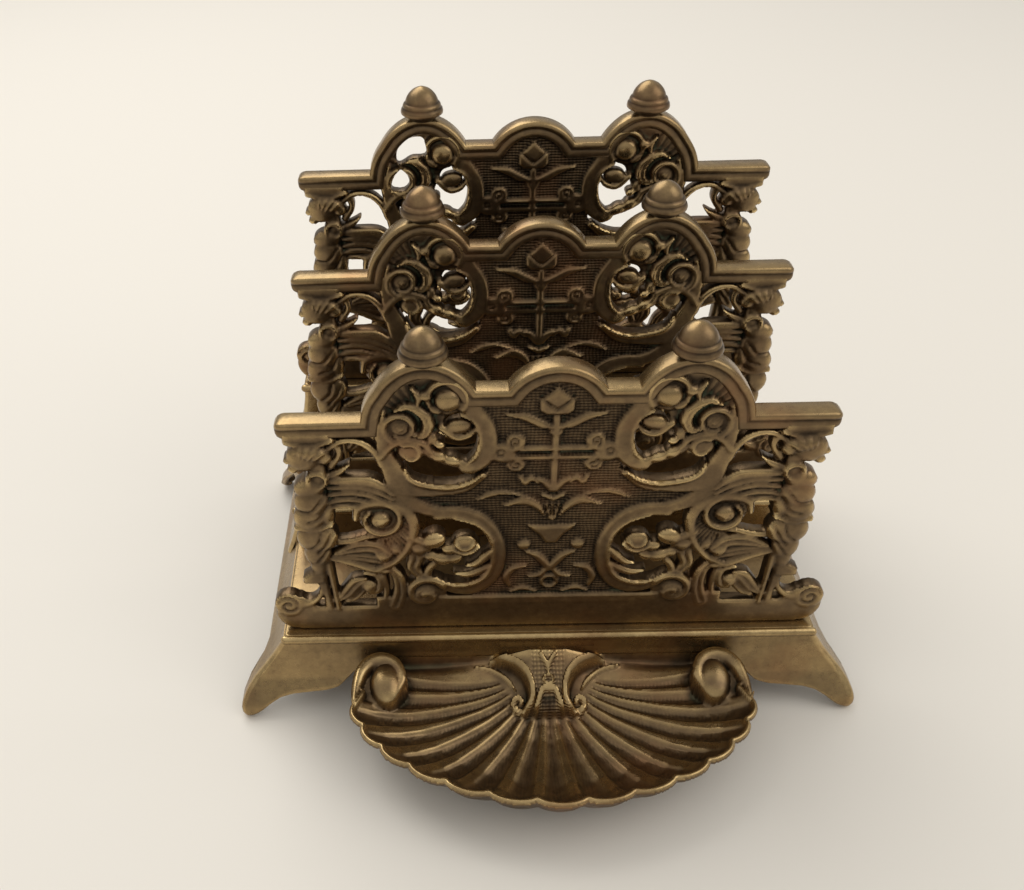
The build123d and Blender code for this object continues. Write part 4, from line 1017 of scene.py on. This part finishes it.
def lid(shape, top, half_x, front, rear):
    """Top of a step, with rounded edges."""
    sections, tone = [], []
    for inset, below, wear_and_light_values in LID_SECTION:
        ring = []
        hx, hy = half_x - inset - CORNER_RADIUS, (rear - front) / 2 - inset - CORNER_RADIUS
        for core, face, _ in base_border(2, 2):
            x = core[0] * hx + CORNER_RADIUS * math.cos(face)
            y = (rear + front) / 2 + core[1] * hy + CORNER_RADIUS * math.sin(face)
            ring.append((x, y, top - below))
        sections.append(np.array(ring))
        tone.extend([wear_and_light_values] * len(ring))
    points, faces = tube(sections)
    shape.add(points, faces, np.array(tone))


def nosing(shape, front, top):
    """Worn bead along the front edge of a step, with round ends, lighter towards its top with wear and a
    painted highlight.
    """
    turn = np.linspace(0, 2 * math.pi, 20, endpoint=False)
    reach = BASE_HALF_WIDTH - CORNER_RADIUS + NOSING_OVERHANG
    bend = np.radians(np.linspace(*NOSING_BENDS))
    ends = [(-reach - NOSING_RADIUS * math.cos(b), math.sin(b)) for b in bend]
    ends += [(-x, size) for x, size in ends[::-1]]
    sections = []
    for x, size in ends:
        y = front + NOSING_RADIUS * size * np.cos(turn)
        z = top - NOSING_RADIUS + NOSING_RADIUS * size * np.sin(turn)
        sections.append(np.column_stack([np.full(len(turn), x), y, z]))
    points, faces = tube(sections)
    # painted highlight: the bead is lighter towards its top, as wear and as a highlight
    shape.add(points, faces, NOSING_WEAR + NOSING_TOP_WEAR_AND_HIGHLIGHT * (points[:, 2] - top + NOSING_RADIUS))


def base(material):
    """The stepped base, in place of its node."""
    shape = Shape()
    fronts = (BASE_FRONT, BASE_MIDDLE, BASE_REAR_STEP)

    def skirt_edge(place, side):
        across = BASE_HALF_WIDTH + SKIRT_FLARE_X - abs(place[0])
        middle = (BASE_FRONT + BASE_REAR) / 2
        along = (BASE_REAR - BASE_FRONT) / 2 + SKIRT_FLARE_Y - abs(place[1] - middle)
        if side in (0, 2):
            return np.interp(across, *zip(*FOOT_EDGE))
        if side in (1, 3):
            return np.interp(along, *zip(*SIDE_FOOT_EDGE))
        return 0.0

    ring_wall(shape, STEP_TOPS[0],
              lambda z: BASE_HALF_WIDTH + SKIRT_FLARE_X * np.interp(z, *zip(*FLARE_X)),
              lambda z: BASE_FRONT - SKIRT_FLARE_Y * np.interp(z, *zip(*FLARE_Y)),
              lambda z: BASE_REAR + SKIRT_FLARE_Y * np.interp(z, *zip(*FLARE_Y)), skirt_edge)
    for k in (1, 2):
        top, low = STEP_TOPS[k], STEP_TOPS[k - 1] - STEP_LAP
        hidden = STEP_TOPS[k - 1] - BASE_SLAB
        rear_face = BASE_REAR if k == 2 else BASE_REAR - REAR_SINK

        def swell(z, top=top, low=low):
            return BASE_HALF_WIDTH + STEP_FLARE * np.interp((top - z) / (top - low), *zip(*STEP_SWELL))

        def step_edge(place, side, k=k, low=low, hidden=hidden):
            if k == 2 and side == 2 and abs(place[0]) < REAR_LAP:
                return STEP_TOPS[0] - BASE_SLAB
            return hidden if side == 0 else low

        ring_wall(shape, top, swell, lambda z, y=fronts[k]: y, lambda z, y=rear_face: y, step_edge)
    rears = (BASE_MIDDLE + LID_LAP, BASE_REAR_STEP + LID_LAP, BASE_REAR)
    for front, rear, top in zip(fronts, rears, STEP_TOPS):
        lid(shape, top, BASE_HALF_WIDTH, front, rear)
        nosing(shape, front, top)
    # pad on the apron that the tray sits on
    x, y0, y1 = SEAT_HALF_WIDTH, BASE_FRONT - SEAT_PROUD, BASE_FRONT + BASE_WALL
    box = [np.array([(-x, y0, z), (x, y0, z), (x, y1, z), (-x, y1, z)]) for z in (SEAT_LOW, SEAT_HIGH)]
    shape.add(*tube(box))
    piece = shape.build("base_cast", material, BASE_SMOOTH)
    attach(piece, "root")
    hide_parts("base")


def tray_screws(material):
    """Round-headed screws from inside the apron into the hinge pad."""
    low, high = node_box("tray_screws")
    middle_z = (low[2] + high[2]) / 2
    head = (high[2] - low[2]) / 2
    wall_y = BASE_FRONT + BASE_WALL
    turn = np.linspace(0, 2 * math.pi, 24, endpoint=False)
    shape = Shape()
    for side in (-1, 1):
        middle_x = side * (high[0] - head)
        sections = []
        tip = BASE_FRONT - SEAT_PROUD + SCREW_SHORT
        for radius, y in ((SCREW_RADIUS, tip), (SCREW_RADIUS, wall_y), (head, wall_y),
                          (HEAD_BRIM_SHARE * head, wall_y + HEAD_BRIM), (HEAD_TOP_SHARE * head, high[1])):
            x, z = middle_x + radius * np.cos(turn), middle_z + radius * np.sin(turn)
            sections.append(np.column_stack([x, np.full(len(turn), y), z]))
        shape.add(*tube(sections))
    piece = shape.build("tray_screws_steel", material)
    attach(piece, "root")
    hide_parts("tray_screws")


# Materials
def fill_ramp(node, stops):
    """Colours of a ramp, by place along it."""
    elements = node.color_ramp.elements
    while len(elements) < len(stops):
        elements.new(1.0)
    for element, (place, colour) in zip(elements, stops):
        element.position = place
        element.color = colour


class Nodes:
    """A material's nodes, wired by short calls."""

    def __init__(self, name):
        self.material = bpy.data.materials.new(name)
        self.material.use_nodes = True
        self.tree = self.material.node_tree
        self.shader = self.tree.nodes["Principled BSDF"]

    def put(self, target, value):
        """A link or a plain value into a socket."""
        if isinstance(value, bpy.types.NodeSocket):
            self.tree.links.new(value, target)
        else:
            target.default_value = value

    def make(self, kind, links=None, **settings):
        node = self.tree.nodes.new("ShaderNode" + kind)
        for key, value in settings.items():
            setattr(node, key, value)
        for socket, value in (links or {}).items():
            self.put(node.inputs[socket], value)
        return node

    def math(self, operation, a, b=0.0, c=0.5, clamp=False):
        return self.make("Math", {0: a, 1: b, 2: c}, operation=operation, use_clamp=clamp).outputs[0]

    def centred(self, value, strength):
        """A noise moved to lie round nothing, and scaled."""
        return self.math("MULTIPLY", self.math("SUBTRACT", value, 0.5), strength)

    def span(self, value, low, high, out_low, out_high):
        """A value's range mapped on another."""
        links = {"Value": value, "From Min": low, "From Max": high, "To Min": out_low, "To Max": out_high}
        return self.make("MapRange", links).outputs[0]

    def mix(self, share, a, b):
        node = self.make("Mix", data_type="RGBA")
        for socket, value in (("Factor_Float", share), ("A_Color", a), ("B_Color", b)):
            self.put(next(s for s in node.inputs if s.identifier == socket), value)
        return next(s for s in node.outputs if s.identifier == "Result_Color")

    def ramp(self, value, stops):
        node = self.make("ValToRGB", {"Fac": value})
        fill_ramp(node, stops)
        return node.outputs["Color"]

    def noise(self, where, scale, detail=4.0, roughness=0.55):
        links = {"Vector": where, "Scale": scale, "Detail": detail, "Roughness": roughness}
        return self.make("TexNoise", links).outputs["Fac"]

    def finish(self, colour, rough, metallic, bump=None):
        """The shader's colour, roughness, metal and, where there are any, bumps."""
        self.put(self.shader.inputs["Base Color"], colour)
        self.put(self.shader.inputs["Roughness"], rough)
        self.put(self.shader.inputs["Metallic"], metallic)
        if bump:
            self.put(self.shader.inputs["Normal"], bump.outputs[0])
        return self.material


# Tone of brass without wear or painted light, what wear and painted light add to it, and colour by tone
BRASS_TONE, WEAR_AND_LIGHT_CONTRAST = 0.45, 0.26
BRASS_STOPS = (
    (0.0, (0.012, 0.008, 0.005, 1.0)),
    (0.25, (0.058, 0.039, 0.023, 1.0)),
    (0.5, (0.175, 0.118, 0.063, 1.0)),
    (0.75, (0.365, 0.256, 0.121, 1.0)),
    (1.0, (0.68, 0.505, 0.245, 1.0)),
)
COPPER, VERDIGRIS = (0.27, 0.135, 0.062, 1.0), (0.10, 0.125, 0.075, 1.0)
STEEL_STOPS = ((0.25, (0.10, 0.10, 0.10, 1.0)), (0.75, (0.26, 0.26, 0.25, 1.0)))
RUST = (0.12, 0.055, 0.025, 1.0)
PAPER = (0.79, 0.76, 0.705, 1.0)
# Tone that the tray and the base have over the plates
SHELL_SHINE, BASE_SHINE = 0.11, 0.19


def brass(name, shine=0.0):
    """Old cast brass: worn bright on what stands proud, brown in the hollows with dirt and painted shade, a
    few green traces.
    """
    n = Nodes(name)
    where = n.make("TexCoord").outputs["Object"]
    wear_and_painted_light = n.make("Attribute", attribute_name="wear_and_painted_light").outputs["Fac"]
    hatch = n.make("Attribute", attribute_name="hatch").outputs["Fac"]
    cloud = n.noise(where, 55.0, 6.0, 0.6)
    fine = n.noise(where, 420.0, 5.0, 0.65)
    grain = n.noise(where, 1900.0, 3.0, 0.6)
    # hatching of the grounds: short level dashes crossed by fainter upright ones
    split = n.make("SeparateXYZ", {0: where}).outputs
    wobble = n.math("MULTIPLY", n.noise(where, 160.0, 2.0), 5.0)
    level = n.math("SINE", n.math("ADD", n.math("MULTIPLY", split["Z"], 6600.0), wobble))
    upright = n.math("SINE", n.math("ADD", n.math("MULTIPLY", split["X"], 5200.0),
                                    n.math("MULTIPLY", wobble, 2.0)))
    dashes = n.math("ADD", n.math("MULTIPLY", level, 0.6), n.math("MULTIPLY", upright, 0.4))
    hatching = n.math("MULTIPLY", dashes, hatch)
    # painted light: the attribute adds wear to the tone, and also painted shade and painted highlights
    tone = n.math("MULTIPLY_ADD", wear_and_painted_light, WEAR_AND_LIGHT_CONTRAST, BRASS_TONE + shine)
    tone = n.math("ADD", tone, n.centred(cloud, 0.42))
    tone = n.math("ADD", tone, n.centred(fine, 0.30))
    tone = n.math("ADD", tone, n.math("MULTIPLY", hatching, 0.13))
    tone = n.math("SUBTRACT", tone, n.math("MULTIPLY", hatch, 0.02), clamp=True)
    colour = n.ramp(tone, BRASS_STOPS)
    colour = n.mix(n.span(n.noise(where, 38.0, 3.0), 0.52, 0.7, 0.0, 0.45), colour, COPPER)
    damp = n.math("MULTIPLY", n.noise(where, 95.0, 4.0), n.math("MULTIPLY", wear_and_painted_light, -0.8))
    colour = n.mix(n.span(damp, 0.42, 0.75, 0.0, 0.35), colour, VERDIGRIS)
    rough = n.math("ADD", n.span(tone, 0.1, 0.95, 0.48, 0.17), n.centred(fine, 0.22), clamp=True)
    bumps = n.math("ADD", n.math("MULTIPLY", fine, 0.35), n.math("MULTIPLY", grain, 0.18))
    bumps = n.math("ADD", bumps, n.math("MULTIPLY", hatching, 0.8))
    bump = n.make("Bump", {"Height": bumps, "Strength": 0.55, "Distance": 0.0003})
    return n.finish(colour, rough, 0.92, bump)


def steel(name):
    """Dull grey steel of the hidden nuts and screws, brown in spots."""
    n = Nodes(name)
    where = n.make("TexCoord").outputs["Object"]
    cloud = n.noise(where, 300.0, 6.0, 0.6)
    spots = n.span(n.noise(where, 700.0, 4.0), 0.55, 0.75, 0.0, 1.0)
    colour = n.mix(spots, n.ramp(cloud, STEEL_STOPS), RUST)
    bump = n.make("Bump", {"Height": cloud, "Strength": 0.4, "Distance": 0.0002})
    return n.finish(colour, n.span(cloud, 0.0, 1.0, 0.35, 0.6), 0.9, bump)


def paper(name):
    """Pale table top under the rack."""
    return Nodes(name).finish(PAPER, 0.55, 0.0)


def dress_nodes(material, names):
    """A material on nodes that stay as the frame has them."""
    for name in names:
        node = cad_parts[name]
        node.data.materials.clear()
        node.data.materials.append(material)


# Stage: floor and lamps, with lengths in metres, and sky
FLOOR_HALF = 30.0
# Grey of the sky by share of the way from straight down to straight up, and its warm tint
SKY_STOPS = ((0.0, 0.20), (0.5, 0.32), (0.62, 0.55), (1.0, 0.75))
SKY_GREEN, SKY_BLUE = 0.97, 0.92
# Lamps: name, place, size, power and colour. They all aim at one point
LAMPS = (
    ("window", (-0.5, 0.7, 1.1), (1.2, 1.0), 9.0, (1.0, 0.97, 0.92)),
    ("fill", (0.9, -0.2, 0.9), (0.9, 0.9), 3.0, (1.0, 0.96, 0.9)),
)
LAMP_AIM = (0, 0, 0.05)


def floor(material):
    """Level ground that runs on past every view."""
    half = FLOOR_HALF
    mesh = bpy.data.meshes.new("floor")
    corners = [(-half, -half, 0), (half, -half, 0), (half, half, 0), (-half, half, 0)]
    mesh.from_pydata(corners, [], [(0, 1, 2, 3)])
    mesh.materials.append(material)
    piece = bpy.data.objects.new("floor", mesh)
    bpy.context.collection.objects.link(piece)


def lamp(name, place, size, power, colour):
    data = bpy.data.lights.new(name, "AREA")
    data.shape = "RECTANGLE"
    data.size, data.size_y = size
    data.energy = power
    data.color = colour
    piece = bpy.data.objects.new(name, data)
    piece.location = place
    piece.rotation_euler = (Vector(LAMP_AIM) - Vector(place)).to_track_quat("-Z", "Y").to_euler()
    bpy.context.collection.objects.link(piece)


def sky():
    """Light from all round, brighter from above."""
    world = bpy.data.worlds.new("room")
    bpy.context.scene.world = world
    world.use_nodes = True
    tree = world.node_tree
    where = tree.nodes.new("ShaderNodeTexCoord")
    split = tree.nodes.new("ShaderNodeSeparateXYZ")
    ramp = tree.nodes.new("ShaderNodeValToRGB")
    tree.links.new(where.outputs["Generated"], split.inputs[0])
    height = tree.nodes.new("ShaderNodeMath")
    height.operation = "MULTIPLY_ADD"
    height.inputs[1].default_value = 0.5
    height.inputs[2].default_value = 0.5
    tree.links.new(split.outputs["Z"], height.inputs[0])
    tree.links.new(height.outputs[0], ramp.inputs["Fac"])
    fill_ramp(ramp, [(place, (v, v * SKY_GREEN, v * SKY_BLUE, 1.0)) for place, v in SKY_STOPS])
    tree.links.new(ramp.outputs["Color"], tree.nodes["Background"].inputs["Color"])
    tree.nodes["Background"].inputs["Strength"].default_value = 1.0


# Camera: the photograph's frame in pixels, and its lens's place in millimetres and turn in degrees
PHOTO_WIDTH, PHOTO_HEIGHT = 1024, 890
FOCAL_PIXELS = 1095.6
CENTRE_PIXELS = (425.42, 434.51)
EYE = (-30.69, -277.56, 289.23)
PITCH, HEADING, ROLL = 36.0, 1.45, -2.03
SENSOR = 36.0


def camera():
    """The photograph's camera."""
    data = bpy.data.cameras.new("camera")
    data.sensor_fit = "HORIZONTAL"
    data.sensor_width = SENSOR
    data.lens = FOCAL_PIXELS * SENSOR / PHOTO_WIDTH
    data.shift_x = (PHOTO_WIDTH / 2 - CENTRE_PIXELS[0]) / PHOTO_WIDTH
    data.shift_y = (CENTRE_PIXELS[1] - PHOTO_HEIGHT / 2) / PHOTO_WIDTH
    pitch, heading, roll = (math.radians(a) for a in (PITCH, HEADING, ROLL))
    ahead = Vector((-math.sin(heading) * math.cos(pitch), math.cos(heading) * math.cos(pitch),
                    -math.sin(pitch)))
    level = Vector((math.cos(heading), math.sin(heading), 0))
    above = level.cross(ahead)
    right = math.cos(roll) * level + math.sin(roll) * above
    up = -math.sin(roll) * level + math.cos(roll) * above
    piece = bpy.data.objects.new("camera", data)
    turn = Matrix((right, up, -ahead)).transposed().to_4x4()
    piece.matrix_world = Matrix.Translation(Vector(EYE) * MM) @ turn
    bpy.context.collection.objects.link(piece)
    bpy.context.scene.camera = piece


cast = brass("cast_brass_old")
plate("front_plate", cast)
plate("middle_plate", cast)
plate("rear_plate", cast, pierced_left=True)
shell_tray(brass("cast_brass_shell", SHELL_SHINE))
base(brass("cast_brass_base", BASE_SHINE))
dull = steel("steel_dull")
tray_screws(dull)
dress_nodes(dull, ["front_plate_nuts", "middle_plate_nuts", "rear_plate_nuts"])
floor(paper("floor_paper"))
sky()
for row in LAMPS:
    lamp(*row)
camera()
bpy.context.scene.view_settings.view_transform = "Standard"
